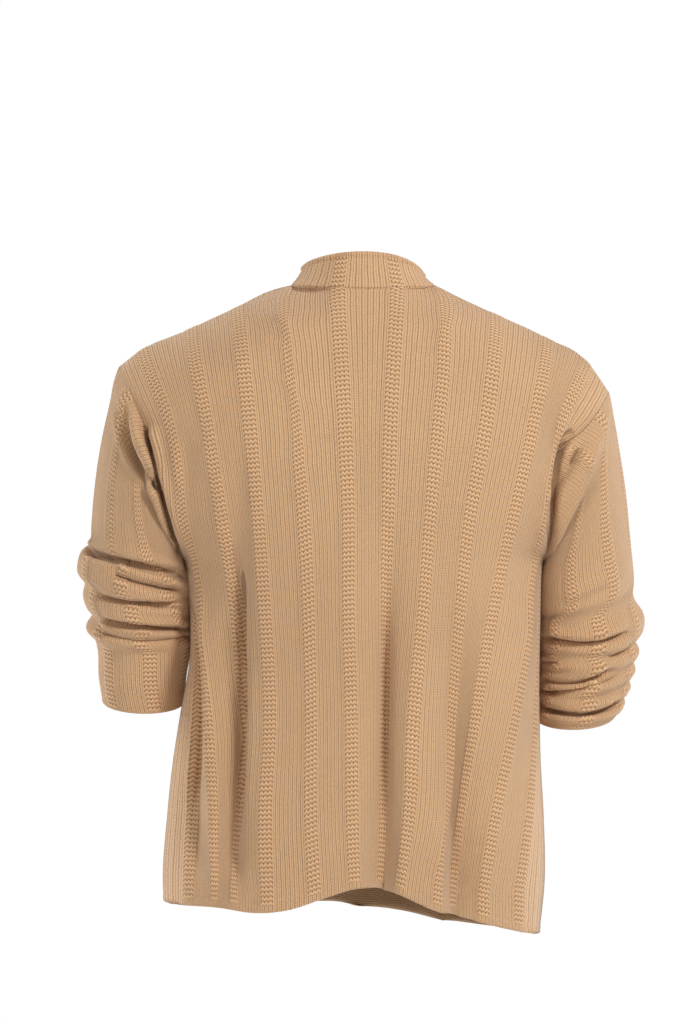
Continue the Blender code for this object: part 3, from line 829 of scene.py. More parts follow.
    def lay(self, line: Array, half_flat: float, near_top: float) -> Array:
        """Lays the flat lines along a row by length, between the raised columns' worn tracks.

        A raised column keeps its knitted width where the plain cloth beside it is stretched.

        Args:
            line: The row's dense line.
            half_flat: The row's flat half width.
            near_top: 1 on the top edge, where the front's columns meet the back's.

        Returns:
            One point for each flat line.
        """
        pitch = self.knit.pitch
        length = lengths(line)
        anchors = {-half_flat: 0.0, half_flat: length[-1]}
        samples = np.arange(len(line))
        drawn = 1.0 if self.facing is Facing.BACK else near_top
        for number, track in self.columns.items():
            heights = np.array(self.column_heights[: len(track)]) * MM
            flat = number * pitch
            faded = ease(line[:, 2].max(), heights[-1] + self.track_fade, heights[-1])
            if abs(flat) > half_flat or faded * drawn == 0:
                continue
            ahead = line[:, 0] - curve(line[:, 2], heights, np.array(track) * MM)
            tracked = np.interp(np.interp(0.0, ahead, samples), samples, length)
            free = length[-1] * (flat + half_flat) / (2 * half_flat)
            anchors[flat] = free + (tracked - free) * drawn
        if near_top > 0:
            for sign, corner in ((-1, self.samples), (1, 2 * self.samples)):
                flat = sign * self.cut.neck * pitch
                free = anchors.get(flat, length[-1] * (flat + half_flat) / (2 * half_flat))
                anchors[flat] = free + (length[corner] - free) * near_top
        flat = np.array(sorted(anchors))
        place = np.array([anchors[key] for key in flat])
        flank = COLUMN_LINES[-1] * self.knit.wale
        middles = np.array([number * pitch for number in self.columns])
        middles = middles[np.abs(middles) < half_flat - 2 * flank]
        centre = np.interp(middles, flat, place)
        spread = flank * np.minimum(1.0, np.interp(middles, flat, np.gradient(place, flat)))
        flat = np.concatenate([flat, middles - flank, middles + flank])
        place = np.concatenate([place, centre - spread, centre + spread])
        order = np.argsort(flat)
        at = np.interp(self.flat_lines(half_flat), flat[order], place[order])
        return np.column_stack([np.interp(at, length, line[:, axis]) for axis in range(3)])

    def flat_lines(self, half_flat: float) -> Array:
        """Flat places of the row's lines; near the armhole the last ones close up."""
        lines = self.line_wales() * self.knit.wale
        full = self.cut.panel * self.knit.pitch
        last = (self.cut.shoulder - 0.5) * self.knit.pitch
        spread = (half_flat - last) / (full - last)
        closed = np.sign(lines) * (last + (np.abs(lines) - last) * spread)
        return np.where(np.abs(lines) > last, closed, lines)

    def line_wales(self) -> Array:
        """Wales from the panel's middle at each line; a raised column stands half a repeat off it."""
        half = self.cut.panel * self.knit.repeat
        shift = self.knit.repeat / 2
        return self.cut.lines(-half - shift, half - shift) + shift

    def wall(self) -> Wall:
        """Lays all rows and returns the panel's wall."""
        body_shares = np.concatenate([self.rim_rows, np.arange(1, self.hem_rows + 1)]) / self.hem_rows
        widest = self.cut.panel * self.knit.pitch
        rows = [self.lay(self.body_line(share), widest, 0.0) for share in body_shares]
        shares = np.linspace(0.0, 1.0, self.yoke_rows + 1)
        left = along(self.armholes.seam(Side.LEFT, self.facing), 1.0 - shares)
        right = along(self.armholes.seam(Side.RIGHT, self.facing), 1.0 - shares)
        half_flats = []
        for left_seam, right_seam, share in zip(left, right, shares):
            closed = ease(share, *self.closing)
            half_flat = (self.cut.panel + (self.cut.shoulder - self.cut.panel) * closed) * self.knit.pitch
            half_flats.append(half_flat)
            line = self.yoke_line(left_seam, right_seam, share)
            rows.append(self.lay(line, half_flat, float(ease(share, *self.drawn_in))))
        body, yoke = np.array(rows[: len(body_shares)]), np.array(rows[len(body_shares) :])
        body += (yoke[0] - body[-1]) * ease(body_shares, *self.joining)[:, None, None]
        body_flats = [self.flat_lines(widest)] * (len(body_shares) - 1)
        flats = np.array(body_flats + [self.flat_lines(half_flat) for half_flat in half_flats])
        points = self.relaxed(np.concatenate([body[:-1], yoke]), flats)
        across = lengths(points.swapaxes(0, 1)).swapaxes(0, 1)
        up = lengths(points)
        return Wall(
            name=f"{self.name}_knit",
            points=points,
            wales=flats / self.knit.wale + self.knit.repeat / 2,
            ring=False,
            outward=-self.facing.value,
            seam_edge=np.minimum(np.minimum(across, across[:, -1:] - across), up[-1] - up),
            creases=(BACK_CREASES if self.facing is Facing.BACK else FRONT_CREASES,),
        )

    def relaxed(self, points: Array, flats: Array) -> Array:
        """Evens the cloth out, a little everywhere and more beside neck points and underarms.

        Each point moves towards the mean of its four neighbours, with those across weighted by
        their flat distances; seams and hem keep their places.

        Args:
            points: The grid of cloth points.
            flats: Flat places of the same points.

        Returns:
            The evened grid.
        """
        gaps = np.diff(flats, axis=1)
        ahead = (gaps[:, :-1] / (gaps[:, :-1] + gaps[:, 1:]))[1:-1, :, None]
        necks = np.searchsorted(self.line_wales(), np.array([-1, 1]) * self.cut.neck * self.knit.repeat)
        corners = np.concatenate([points[-1][necks], points[-1 - self.yoke_rows][[0, -1]]])
        away = np.linalg.norm(points[:, :, None, :] - corners, axis=-1).min(-1)
        near = (1.0 - ease(away, self.soft_near, self.soft_far))[1:-1, 1:-1, None]
        points = points.copy()
        for turn in range(self.soft_turns):
            weight = self.soft_weight * (1.0 if turn < self.even_turns else near)
            inner = points[1:-1, 1:-1]
            across = points[1:-1, :-2] * (1.0 - ahead) + points[1:-1, 2:] * ahead
            upward = (points[:-2, 1:-1] + points[2:, 1:-1]) / 2
            points[1:-1, 1:-1] = inner + weight * ((across + upward) / 2 - inner)
        return points


@dataclass
class Sleeve:
    """A sleeve from its armhole seam to the pushed-up cuff, gathered over the forearm."""

    side: Side
    rings: Table
    creases: tuple[Creases, ...]
    cut: Cut = Cut()
    knit: Knit = Knit()
    armholes: Armholes = field(default_factory=Armholes)
    late_start: float = 70 * MM  # where the second column from the top line starts
    rows: int = 300
    rim_lines: tuple[float, ...] = (1.0, 0.45, 0.2, 0.0)  # mm before the cuff's edge, at the last rows
    underarm_lines: int = 30
    samples: int = 721
    band: float = 4 * MM

    def half_wales(self, half_flat: float) -> Array:
        """Wales from the top line to the underarm seam for a flat half width."""
        last = self.cut.sleeve_last * self.knit.repeat
        lines = self.cut.lines(0.0, last, plain=5)
        rest = np.linspace(last, half_flat / self.knit.wale, self.underarm_lines + 1)[1:]
        return np.concatenate([lines, rest])

    def ring(self, row: dict[str, float]) -> tuple[Array, Array]:
        """A ring's points at the flat lines, and their wales.

        Two half ellipses, behind and in front, on the slanted line between the outer and the inner
        point. A line lies at its flat share of the half way round, carried on by the ring's turn.

        Args:
            row: The ring's row of the table.

        Returns:
            Points from the top line round by the back, and wales from the top line.
        """
        angle = np.linspace(0.0, 2 * math.pi, self.samples)
        swing, bulge = np.cos(angle), np.sin(angle)
        loop = np.column_stack([
            (row["outer"] + row["inner"]) / 2 + (row["outer"] - row["inner"]) / 2 * swing,
            row["middle"] + row["depth"] * bulge,
            (row["outer_z"] + row["inner_z"]) / 2 + (row["outer_z"] - row["inner_z"]) / 2 * swing
            - row["drop"] * bulge,
        ])
        length = lengths(loop)[-1]
        wales = self.half_wales(length / 2)
        share = wales / wales[-1] / 2
        round_way = np.concatenate([share, 1.0 - share[-2:0:-1]])
        shifted = (round_way + row["turn"] / length) % 1.0
        return along(loop, shifted), np.concatenate([wales, wales[-2:0:-1]])

    def wall(self) -> Wall:
        """Joins seam and rings by smooth rows and returns the wall, which carries the sleeve's creases to
        be pressed in later.
        """
        full = self.half_wales(self.cut.cap * self.knit.pitch)
        seam = [along(self.armholes.seam(self.side, facing), full / full[-1]) for facing in Facing]
        coarse = [np.concatenate([seam[0], seam[1][-2:0:-1]])]
        wales = [np.concatenate([full, full[-2:0:-1]])]
        for values in zip(*self.rings.values()):
            row = dict(zip(self.rings, values))
            points, around = self.ring(row)
            coarse.append(points)
            wales.append(around)
        stations = np.array(coarse)
        place = lengths(stations).mean(axis=1)
        rim = place[-1] - np.array(self.rim_lines) * MM
        at = np.concatenate([np.linspace(0.0, rim[0], self.rows), rim[1:]])
        points = curve(at, place, stations)
        return Wall(
            name=f"sleeve_{self.side.value}_knit",
            points=points,
            wales=curve(at, place, np.array(wales)),
            ring=True,
            outward=-1.0 if self.side is Side.LEFT else 1.0,
            seam_edge=lengths(points),
            creases=self.creases,
            free_first=False,
            band=self.band,
            seam_columns=1.5 * self.knit.repeat,
            last_columns=self.cut.sleeve_last * self.knit.repeat - 0.5,
            late_start=self.late_start,
        )


@dataclass
class Collar:
    """The low funnel that stands on the neck seam, with a narrow rolled edge."""

    neck: NeckSeam = field(default_factory=NeckSeam)
    top_side: float = 62 * MM
    top_back: float = 60 * MM
    top_front: float = 78 * MM
    side_height: float = 17 * MM
    back_height: float = 34 * MM
    front_height: float = -6 * MM
    tilt: float = 4 * MM
    fullness: float = 1.15
    rows: int = 26
    rim_shares: tuple[float, ...] = (0.97, 0.985, 0.995, 1.0)  # of the height, at the last rows
    roll: float = 6.0 * MM
    roll_swell: float = 1.5 * MM
    roll_bump: float = 0.5 * MM
    rise: Table = field(default_factory=lambda: table(
        "inward upward",
        (0.0, 0.0),
        (0.42, 0.30),
        (0.75, 0.64),
        (1.0, 1.0),
        plain=("inward", "upward"),
    ))

    def wall(self, seam: Array, wales: Array) -> Wall:
        """Raises the collar on the neck seam.

        Rows lean from the seam to a smaller oval by the table of rise, and the last few
        millimetres swell to a roll with one bump for each wale.

        Args:
            seam: Points of the panels' neck edges, closed round.
            wales: Their wales.

        Returns:
            The collar's wall.
        """
        angle = np.arctan2(
            seam[:, 1] / np.where(seam[:, 1] > 0, self.neck.back, self.neck.front),
            (seam[:, 0] - self.neck.centre) / self.neck.side,
        )
        behind = np.sin(angle)
        depth = np.where(behind > 0, self.top_back, self.top_front)
        side_height = self.side_height + self.tilt * np.cos(angle)
        end_height = np.where(behind > 0, self.back_height, self.front_height)
        top = np.column_stack([
            self.neck.centre + self.top_side * np.cos(angle),
            depth * behind,
            side_height + (end_height - side_height) * np.abs(behind) ** self.fullness,
        ])
        share = np.concatenate([np.linspace(0.0, self.rim_shares[0], self.rows), self.rim_shares[1:]])
        steps = np.linspace(0.0, 1.0, len(self.rise["inward"]))
        inward = curve(share, steps, self.rise["inward"])
        upward = curve(share, steps, self.rise["upward"])
        lean = np.stack([inward, inward, upward], axis=1)[:, None, :]
        points = seam + (top - seam) * lean
        return Wall(
            name="collar_knit",
            points=points,
            wales=np.broadcast_to(wales, points.shape[:2]),
            ring=True,
            outward=1.0,
            seam_edge=lengths(points),
            free_first=False,
            band=self.roll,
            band_swell=self.roll_swell,
            bump_swell=self.roll_bump,
            inner_rows=3,
        )


LEFT_RINGS = table(
    "outer outer_z inner inner_z middle depth drop turn",
    (268, -102, 197, -297, -2, 66, 0, 0),
    (272, -122, 194, -301, -4, 58, 0, 3),
    (281, -162, 192, -304, -7, 61, 2, 5),
    (289, -213, 189, -307, -10, 60, 5, 5),
    (293, -258, 187, -309, -13, 59, 8, 8),
    (295, -276, 186, -312, -15, 56, 9, 20),
    (306, -287, 186, -319, -17, 60, 12, 34),
    (309, -303, 186, -326, -19, 60, 12, 36),
    (301, -317, 187, -333, -21, 55, 12, 37),
    (303, -329, 187, -340, -23, 57, 13, 38),
    (300, -341, 188, -349, -25, 54, 13, 38),
    (293, -352, 189, -358, -27, 50, 12, 38),
    (300, -365, 187, -368, -29, 53, 13, 38),
    (291, -376, 189, -378, -31, 47, 13, 37),
    (288, -388, 190, -390, -34, 47, 11, 35),
    (287, -418, 195, -420, -39, 45, 11, 34),
    (283, -446, 197, -448, -45, 43, 11, 34),
)
RIGHT_RINGS = table(
    "outer outer_z inner inner_z middle depth drop turn",
    (-262, -129, -193, -297, -2, 66, 0, 0),
    (-266, -150, -190, -301, -5, 57, 0, 8),
    (-273, -188, -188, -306, -9, 60, 2, 18),
    (-279, -228, -186, -314, -14, 60, 5, 20),
    (-283, -270, -185, -326, -19, 59, 8, 14),
    (-287, -314, -185, -345, -24, 57, 10, 8),
    (-289, -337, -186, -356, -27, 56, 11, 28),
    (-299, -354, -186, -366, -29, 59, 12, 36),
    (-298, -367, -187, -376, -30, 57, 13, 34),
    (-290, -380, -188, -386, -32, 53, 14, 30),
    (-294, -391, -187, -397, -34, 56, 14, 30),
    (-288, -402, -189, -408, -36, 51, 15, 30),
    (-290, -411, -186, -417, -37, 53, 14, 29),
    (-283, -420, -189, -427, -39, 48, 16, 28),
    (-285, -430, -186, -436, -40, 50, 13, 26),
    (-277, -439, -189, -445, -41, 46, 14, 24),
    (-279, -447, -185, -453, -42, 48, 13, 22),
    (-272, -455, -185, -459, -43, 45, 12, 20),
    (-267, -461, -185, -465, -44, 43, 12, 20),
)
LEFT_BACK_CREASES = creases(
    Facing.BACK,
    (255, -128, 246, -179, 214, -222, 18, 3.8, 0.14),
    (300, -283, 262, -293, 196, -308, 11, 4.2, 0.08),
    (268, -306, 240, -317, 190, -328, 10, 3.6, 0.15),
    (286, -329, 248, -338, 196, -337, 8, 3.2, 0.15),
    (232, -342, 215, -344, 192, -343, 4, 2.5, 0.3),
    (282, -356, 240, -364, 186, -368, 10, 3.4, 0.12),
    (286, -369, 236, -379, 186, -373, 8, 3.2, 0.12),
)
RIGHT_BACK_CREASES = creases(
    Facing.BACK,
    (-226, -168, -214, -193, -195, -225, 7, 5.0, 0.25),
    (-266, -318, -235, -333, -203, -346, 3, 5.0, 0.3),
    (-188, -374, -238, -382, -282, -368, 10, 3.6, 0.12),
    (-187, -402, -198, -403, -208, -402, 4, 2.5, 0.35),
    (-254, -397, -270, -393, -284, -386, 4, 2.5, 0.35),
    (-187, -421, -225, -424, -264, -408, 9, 3.2, 0.12),
    (-187, -434, -230, -431, -268, -416, 7, 2.8, 0.15),
    (-187, -451, -235, -458, -272, -444, 9, 3.2, 0.12),
)
LEFT_FRONT_CREASES = creases(
    Facing.FRONT,
    (250, -130, 232, -180, 210, -225, 4, 4.0, 0.2),
    (298, -288, 258, -280, 198, -300, 7, 4.0, 0.15),
    (290, -312, 250, -306, 200, -318, 6, 3.5, 0.2),
    (288, -336, 240, -334, 196, -340, 6, 3.2, 0.2),
    (284, -360, 240, -356, 192, -362, 6, 3.2, 0.2),
)
RIGHT_FRONT_CREASES = creases(
    Facing.FRONT,
    (-248, -150, -228, -190, -206, -235, 4, 4.0, 0.2),
    (-286, -350, -240, -346, -192, -366, 6, 3.6, 0.15),
    (-284, -382, -240, -372, -192, -388, 6, 3.2, 0.2),
    (-278, -408, -238, -400, -192, -412, 6, 3.0, 0.2),
    (-272, -436, -232, -428, -190, -436, 5, 3.0, 0.2),
)
BACK_CREASES = creases(
    Facing.BACK,
    (190, -155, 187, -190, 184, -228, 2.5, 7.0, 0.4),
    (134, -185, 134, -215, 133, -250, 2.0, 8.0, 0.4),
    (-206, -140, -190, -190, -180, -250, 2.0, 8.0, 0.4),
    (-96, -440, -92, -540, -86, -650, 1.5, 6.0, 0.3),
    (131, -270, 129, -440, 136, -606, 11.0, 3.8, 0.32),
    (189, -320, 177, -455, 184, -570, 9.0, 4.2, 0.25),
    (-22, -290, -20, -440, -16, -610, 6.5, 5.2, 0.38),
)
FRONT_CREASES = creases(
    Facing.FRONT,
    (186, -160, 182, -200, 176, -240, 2.5, 8.0, 0.4),
    (-184, -170, -178, -210, -170, -250, 2.5, 8.0, 0.4),
)


SEAM_CREASES = (
    creases(
        Facing.BACK,
        (234, -148, 219, -205, 198, -291, 14, 3.4, 0.16),
        (-221, -155, -202, -190, -193, -290, 9, 4.5, 0.2),
    ),
    creases(
        Facing.FRONT,
        (236, -150, 216, -210, 197, -291, 7, 4.0, 0.2),
        (-232, -160, -208, -215, -193, -290, 6, 4.0, 0.2),
    ),
)


class Nodes:
    """A short way to write a material's arithmetic."""

    def __init__(self, material: bpy.types.Material) -> None:
        """Takes over the material's tree and keeps its shader.

        Args:
            material: A material that uses nodes.
        """
        self.tree = material.node_tree
        self.shader = self.tree.nodes["Principled BSDF"]

    def node(self, kind: str, **settings: object) -> bpy.types.Node:
        """A new node of a kind with its settings."""
        made = self.tree.nodes.new(kind)
        for key, value in settings.items():
            setattr(made, key, value)
        return made

    def put(self, value: object, socket: bpy.types.NodeSocket) -> None:
        """Links a socket, or sets a number, on an input."""
        if isinstance(value, bpy.types.NodeSocket):
            self.tree.links.new(value, socket)
        else:
            socket.default_value = value

    def math(self, operation: str, *values: object) -> bpy.types.NodeSocket:
        """The result of a math node on sockets or numbers."""
        made = self.node("ShaderNodeMath", operation=operation)
        for value, socket in zip(values, made.inputs):
            self.put(value, socket)
        return made.outputs[0]

    def step(self, value: object, low: float, high: float) -> bpy.types.NodeSocket:
        """A smooth step from 0 at low to 1 at high."""
        made = self.node("ShaderNodeMapRange", interpolation_type="SMOOTHSTEP")
        for place, item in zip(("Value", "From Min", "From Max"), (value, low, high)):
            self.put(item, made.inputs[place])
        return made.outputs[0]

    def mix(self, share: object, first: object, second: object) -> bpy.types.NodeSocket:
        """first + (second - first) share, on numbers."""
        made = self.node("ShaderNodeMix", data_type="FLOAT")
        for socket, value in zip((made.inputs[0], made.inputs[2], made.inputs[3]), (share, first, second)):
            self.put(value, socket)
        return made.outputs[0]

    def noise(self, vector: object, scale: float, detail: float) -> bpy.types.NodeSocket:
        """Smooth noise over a vector."""
        made = self.node("ShaderNodeTexNoise")
        self.put(vector, made.inputs["Vector"])
        made.inputs["Scale"].default_value = scale
        made.inputs["Detail"].default_value = detail
        return made.outputs[0]


class Stitch(Enum):
    """Which face of the knit shows."""

    FACE = "face"
    REVERSE = "reverse"


@dataclass(frozen=True)
class CamelWool:
    """Camel lambswool: stitches, columns, melange and fuzz as a material on the flat cut, with painted
    shade in the grooves between stitches.
    """

    name: str
    stitch: Stitch
    light: tuple[float, float, float, float] = (0.72, 0.450, 0.245, 1.0)
    # Painted shade: the colour in the hollows between strands and ridges, darker than the yarn.
    groove_painted_shade: tuple[float, float, float, float] = (0.33, 0.168, 0.072, 1.0)
    bump: float = 0.75
    depth: float = 0.9 * MM
    slant: float = 1.8  # courses that a strand rises from its wale's middle, by wale
    bead: tuple[float, float] = (0.34, 0.66)  # swing and level
    valley: float = 0.35  # between two wales
    purl: tuple[float, float] = (0.38, 0.32)  # swing and level
    dimple: float = 0.42
    loop: float = 0.16  # courses that an inner row waves
    wander: tuple[float, float, float] = (90.0, 2.0, 0.24)  # scale, detail and wales
    fibre: tuple[float, float, float] = (1500.0, 3.0, 0.30)  # scale, detail and height
    melange: tuple[float, float, float] = (420.0, 4.0, 0.30)  # scale, detail and spread
    cloud: tuple[float, float, float] = (9.0, 3.0, 0.16)
    knit: Knit = Knit()

    def face_height(self, n: Nodes, wales: object, courses: object) -> bpy.types.NodeSocket:
        """Plain stitches as pairs of slanted strands, and zigzag purl ridges on the columns.

        With t the distance from a wale's middle, a strand is sin(2 pi t), beaded along by the
        cosine of courses less slant t; a purl ridge is the cosine of half the courses plus its tooth.

        Args:
            n: The material's nodes.
            wales: Wales across.
            courses: Courses up.

        Returns:
            The height, about -0.4 to 1.
        """
        t = n.math("PINGPONG", wales, 0.5)
        strand = n.math("SINE", n.math("MULTIPLY", t, 2 * math.pi))
        slant = n.math("SUBTRACT", courses, n.math("MULTIPLY", t, self.slant))
        bead = n.math("COSINE", n.math("MULTIPLY", slant, 2 * math.pi))
        plain = n.math("MULTIPLY", strand, n.math("MULTIPLY_ADD", bead, *self.bead))
        edge = n.math("POWER", n.math("MULTIPLY", t, 2.0), 5.0)
        plain = n.math("SUBTRACT", plain, n.math("MULTIPLY", edge, self.valley))
        zigzag = n.math("MULTIPLY_ADD", t, 4.0 * self.knit.tooth, -self.knit.tooth)
        phase = n.math("MULTIPLY_ADD", courses, 1.0 / self.knit.period, zigzag)
        ridge = n.math("COSINE", n.math("MULTIPLY", phase, 2 * math.pi))
        dimple = n.math("MULTIPLY", n.math("SUBTRACT", 1.0, ridge), edge)
        purl = n.math("MULTIPLY_ADD", ridge, *self.purl)
        purl = n.math("SUBTRACT", purl, n.math("MULTIPLY", dimple, self.dimple))
        away = n.math("PINGPONG", wales, self.knit.repeat / 2)
        edges = self.knit.column_edge - 0.1, self.knit.column_edge + self.knit.slope
        column = n.math("SUBTRACT", 1.0, n.step(away, *edges))
        columned = n.node("ShaderNodeAttribute", attribute_name="columned").outputs["Fac"]
        return n.mix(n.math("MULTIPLY", column, columned), plain, purl)

    def reverse_height(self, n: Nodes, wales: object, courses: object) -> bpy.types.NodeSocket:
        """The inside: rows of small purl loops, each wale shifted by half a loop."""
        across = n.math("COSINE", n.math("MULTIPLY", wales, 4 * math.pi))
        wave = n.math("MULTIPLY_ADD", across, self.loop, courses)
        rows = n.math("COSINE", n.math("MULTIPLY", wave, 2 * math.pi))
        return n.math("MULTIPLY_ADD", rows, 0.5, 0.5)

    def make(self) -> bpy.types.Material:
        """Builds the material.

        Returns:
            A material that reads the flat cut's UV map and Object coordinates.
        """
        material = bpy.data.materials.new(self.name)
        material.use_nodes = True
        n = Nodes(material)
        flat = n.node("ShaderNodeUVMap", uv_map="flat_cut")
        split = n.node("ShaderNodeSeparateXYZ")
        n.put(flat.outputs[0], split.inputs[0])
        wales, courses = split.outputs[0], split.outputs[1]
        place = n.node("ShaderNodeTexCoord").outputs["Object"]
        scale, detail, sway = self.wander
        wander = n.math("MULTIPLY_ADD", n.noise(place, scale, detail), sway, -sway / 2)
        wales = n.math("ADD", wales, wander)
        if self.stitch is Stitch.FACE:
            height = self.face_height(n, wales, courses)
        else:
            height = self.reverse_height(n, wales, courses)
        scale, detail, fuzz = self.fibre
        fibre = n.noise(place, scale, detail)
        fuzzy = n.math("MULTIPLY_ADD", fibre, fuzz, height)

        # Painted shade: the colour runs from the yarn's light tone down to the dark groove colour as the
        # stitch height falls.
        yarn_and_groove_shade = n.node("ShaderNodeMix", data_type="RGBA")
        n.put(n.step(height, -0.45, 0.85), yarn_and_groove_shade.inputs[0])
        yarn_and_groove_shade.inputs[6].default_value = self.groove_painted_shade
        yarn_and_groove_shade.inputs[7].default_value = self.light
        melange, cloud = (
            n.math("MULTIPLY_ADD", n.noise(place, scale, detail), spread, 1 - spread / 2)
            for scale, detail, spread in (self.melange, self.cloud)
        )
        tint = n.node("ShaderNodeHueSaturation")
        tint.inputs["Saturation"].default_value = 0.98
        n.put(yarn_and_groove_shade.outputs[2], tint.inputs["Color"])
        n.put(n.math("MULTIPLY", melange, cloud), tint.inputs["Value"])
        n.put(tint.outputs[0], n.shader.inputs["Base Color"])

        bump = n.node("ShaderNodeBump")
        bump.inputs["Strength"].default_value = self.bump
        bump.inputs["Distance"].default_value = self.depth
        n.put(fuzzy, bump.inputs["Height"])
        n.put(bump.outputs[0], n.shader.inputs["Normal"])
        n.put(n.math("MULTIPLY_ADD", fibre, 0.14, 0.82), n.shader.inputs["Roughness"])
        n.shader.inputs["Specular IOR Level"].default_value = 0.25
        n.shader.inputs["Sheen Weight"].default_value = 0.35
        n.shader.inputs["Sheen Roughness"].default_value = 0.45
        n.shader.inputs["Sheen Tint"].default_value = (1.0, 0.90, 0.78, 1.0)
        return material


@dataclass
class Sweater:
    """The whole garment: its five knitted pieces and the seams between them."""

    back: Panel = field(default_factory=lambda: Panel(Facing.BACK))
    front: Panel = field(default_factory=lambda: Panel(Facing.FRONT))
    left: Sleeve = field(
        default_factory=lambda: Sleeve(Side.LEFT, LEFT_RINGS, (LEFT_BACK_CREASES, LEFT_FRONT_CREASES))
    )
    right: Sleeve = field(
        default_factory=lambda: Sleeve(
            Side.RIGHT, RIGHT_RINGS, (RIGHT_BACK_CREASES, RIGHT_FRONT_CREASES), late_start=14 * MM
        )
    )
    collar: Collar = field(default_factory=Collar)
    cut_sizes: dict[str, tuple[float, float, float]] = field(default_factory=lambda: {
        "back": (0.594, 0.690, 0.388),
        "front": (0.594, 0.670, 0.380),
        "sleeve_left": (0.495, 0.400, 0.112),
        "sleeve_right": (0.495, 0.400, 0.112),
        "collar": (0.460, 0.042, 0.0190),
    })

    def collar_wall(self, back: Wall, front: Wall) -> Wall:
        """Picks the neck edge up from both panels and raises the collar on it."""
        wales = self.back.line_wales()
        at_neck = np.abs(wales) < self.back.cut.neck * self.back.knit.repeat + 0.01
        behind = back.points[-1][at_neck][::-1]
        before = front.points[-1][at_neck][1:-1]
        shift = self.back.knit.repeat / 2
        around = np.concatenate([wales[at_neck][::-1], wales[at_neck][1:-1]]) + shift
        return self.collar.wall(np.concatenate([behind, before]), around)

    def make(self) -> None:
        """Builds, dresses and declares every piece."""
        walls = [self.back.wall(), self.front.wall(), self.left.wall(), self.right.wall()]
        walls.append(self.collar_wall(walls[0], walls[1]))
        shared = mitred(walls, stretch=False)
        for wall in walls:
            wall.pressed(shared[wall.name])
        ways = mitred(walls, stretch=True)
        face = CamelWool("camel_wool_face", Stitch.FACE).make()
        # The inside's reverse stitch gets a darker yarn colour: painted shade of the garment's hollow
        # inside.
        reverse = CamelWool("camel_wool_reverse_painted_shade", Stitch.REVERSE, light=(0.34, 0.20, 0.10, 1.0)).make()
        for wall in walls:
            node = wall.name.removesuffix("_knit")
            piece = wall.build(ways[wall.name])
            piece.data.materials.append(face)
            piece.data.materials.append(reverse)
            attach(piece, "root")
            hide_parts(node)
            LOG.info("%s: %d vertices", piece.name, len(piece.data.vertices))


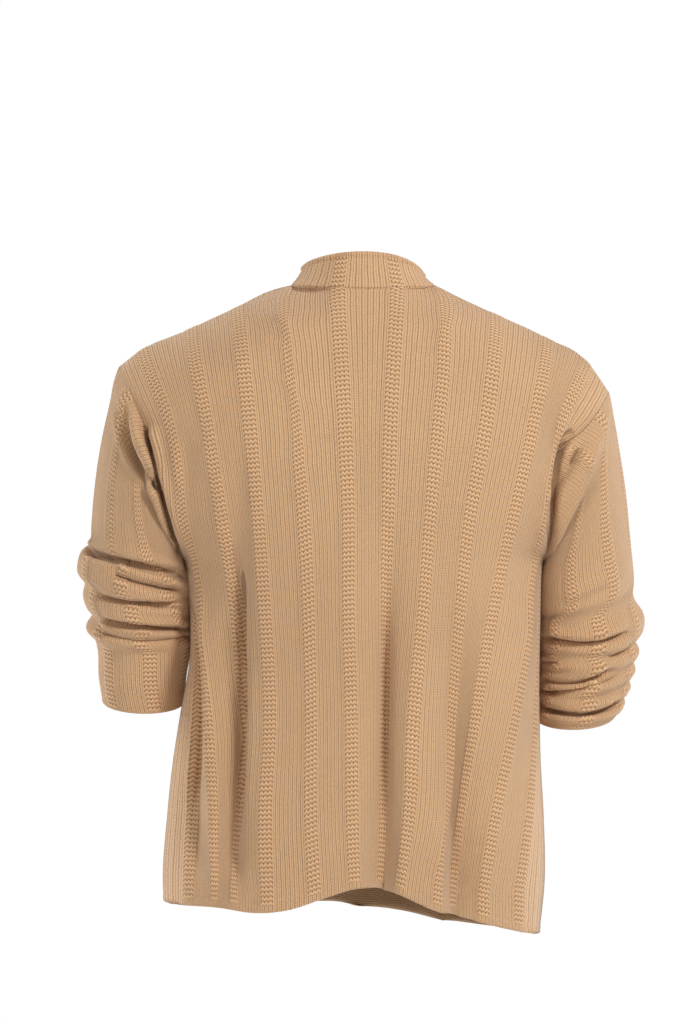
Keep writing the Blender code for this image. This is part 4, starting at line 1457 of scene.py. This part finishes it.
@dataclass(frozen=True)
class Studio:
    """Pale floor, soft lights and a level camera behind the garment."""

    floor_height: float = -1.45
    floor_radius: float = 4.8
    surroundings: float = 0.40
    distance: float = 4.45
    across: float = 0.026
    height: float = -0.2417
    lens: float = 146.0

    def floor(self) -> None:
        """A round white floor as far below as the garment hangs on a standing wearer, soft at its rim."""
        angle = np.linspace(0.0, 2 * math.pi, 96, endpoint=False)
        ring = np.column_stack([np.cos(angle), np.sin(angle), np.zeros_like(angle)]) * self.floor_radius
        ring[:, 2] = self.floor_height
        mesh = bpy.data.meshes.new("studio_floor")
        mesh.from_pydata(ring.tolist(), [], [list(range(len(ring)))])
        floor = bpy.data.objects.new("studio_floor", mesh)
        material = bpy.data.materials.new("studio_floor")
        material.use_nodes = True
        n = Nodes(material)
        n.shader.inputs["Base Color"].default_value = (0.9, 0.9, 0.9, 1.0)
        n.shader.inputs["Roughness"].default_value = 0.8
        n.shader.inputs["Emission Color"].default_value = (1.0, 1.0, 1.0, 1.0)
        n.shader.inputs["Emission Strength"].default_value = 0.15
        split = n.node("ShaderNodeSeparateXYZ")
        n.put(n.node("ShaderNodeTexCoord").outputs["Object"], split.inputs[0])
        squares = [n.math("MULTIPLY", way, way) for way in (split.outputs[0], split.outputs[1])]
        square = n.math("ADD", *squares)
        fade = n.step(n.math("SQRT", square), 0.35 * self.floor_radius, 0.95 * self.floor_radius)
        n.put(n.math("SUBTRACT", 1.0, fade), n.shader.inputs["Alpha"])
        mesh.materials.append(material)
        bpy.context.scene.collection.objects.link(floor)

    def softbox(self, name: str, place: tuple[float, float, float], size: float, power: float) -> None:
        """A square area light that looks at the garment's middle.

        Args:
            name: The light's name.
            place: Where it stands, in metres.
            size: Its side, in metres.
            power: Its power, in watts.
        """
        light = bpy.data.lights.new(name, "AREA")
        light.size = size
        light.energy = power
        thing = bpy.data.objects.new(name, light)
        at = np.array(place)
        aim = np.array([0.0, 0.0, -0.3]) - at
        thing.location = place
        yaw = math.atan2(aim[0], -aim[1])
        pitch = math.atan2(math.hypot(aim[0], aim[1]), -aim[2])
        thing.rotation_euler = (pitch, 0.0, yaw + math.pi)
        bpy.context.scene.collection.objects.link(thing)

    def lights(self) -> None:
        """White surroundings, a key high on the picture's right, a fill, and two edge lights."""
        world = bpy.data.worlds.new("studio_white")
        world.use_nodes = True
        tree = world.node_tree
        sky = tree.nodes["Background"]
        sky.inputs["Color"].default_value = (1.0, 1.0, 1.0, 1.0)
        seen = tree.nodes.new("ShaderNodeLightPath")
        strength = tree.nodes.new("ShaderNodeMapRange")
        strength.inputs["To Min"].default_value = self.surroundings
        strength.inputs["To Max"].default_value = 1.0
        tree.links.new(seen.outputs["Is Camera Ray"], strength.inputs["Value"])
        tree.links.new(strength.outputs[0], sky.inputs["Strength"])
        bpy.context.scene.world = world
        bpy.context.scene.view_settings.view_transform = "Standard"
        for name, place, size, power in (
            ("key", (-1.7, 2.3, 1.6), 0.7, 78.0),
            ("fill", (2.6, 3.0, 0.7), 1.4, 26.0),
            ("edge_left", (2.2, -1.5, 0.3), 1.2, 45.0),
            ("edge_right", (-2.2, -1.5, 0.3), 1.2, 25.0),
        ):
            self.softbox(name, place, size, power)

    def camera(self) -> None:
        """A level camera on the picture's axis; the long side of the sensor is upright."""
        lens = bpy.data.cameras.new("camera")
        lens.lens = self.lens
        lens.sensor_width = 36.0
        camera = bpy.data.objects.new("camera", lens)
        camera.location = (self.across, self.distance, self.height)
        camera.rotation_euler = (math.pi / 2, 0.0, math.pi)
        bpy.context.scene.collection.objects.link(camera)
        bpy.context.scene.camera = camera

    def make(self) -> None:
        """Builds the whole studio."""
        self.floor()
        self.lights()
        self.camera()


def main() -> None:
    """Builds the studio and the sweater."""
    logging.basicConfig(level=logging.INFO)
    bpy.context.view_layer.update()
    Studio().make()
    Sweater().make()
    bpy.context.view_layer.update()


if __name__ == "__main__":
    main()
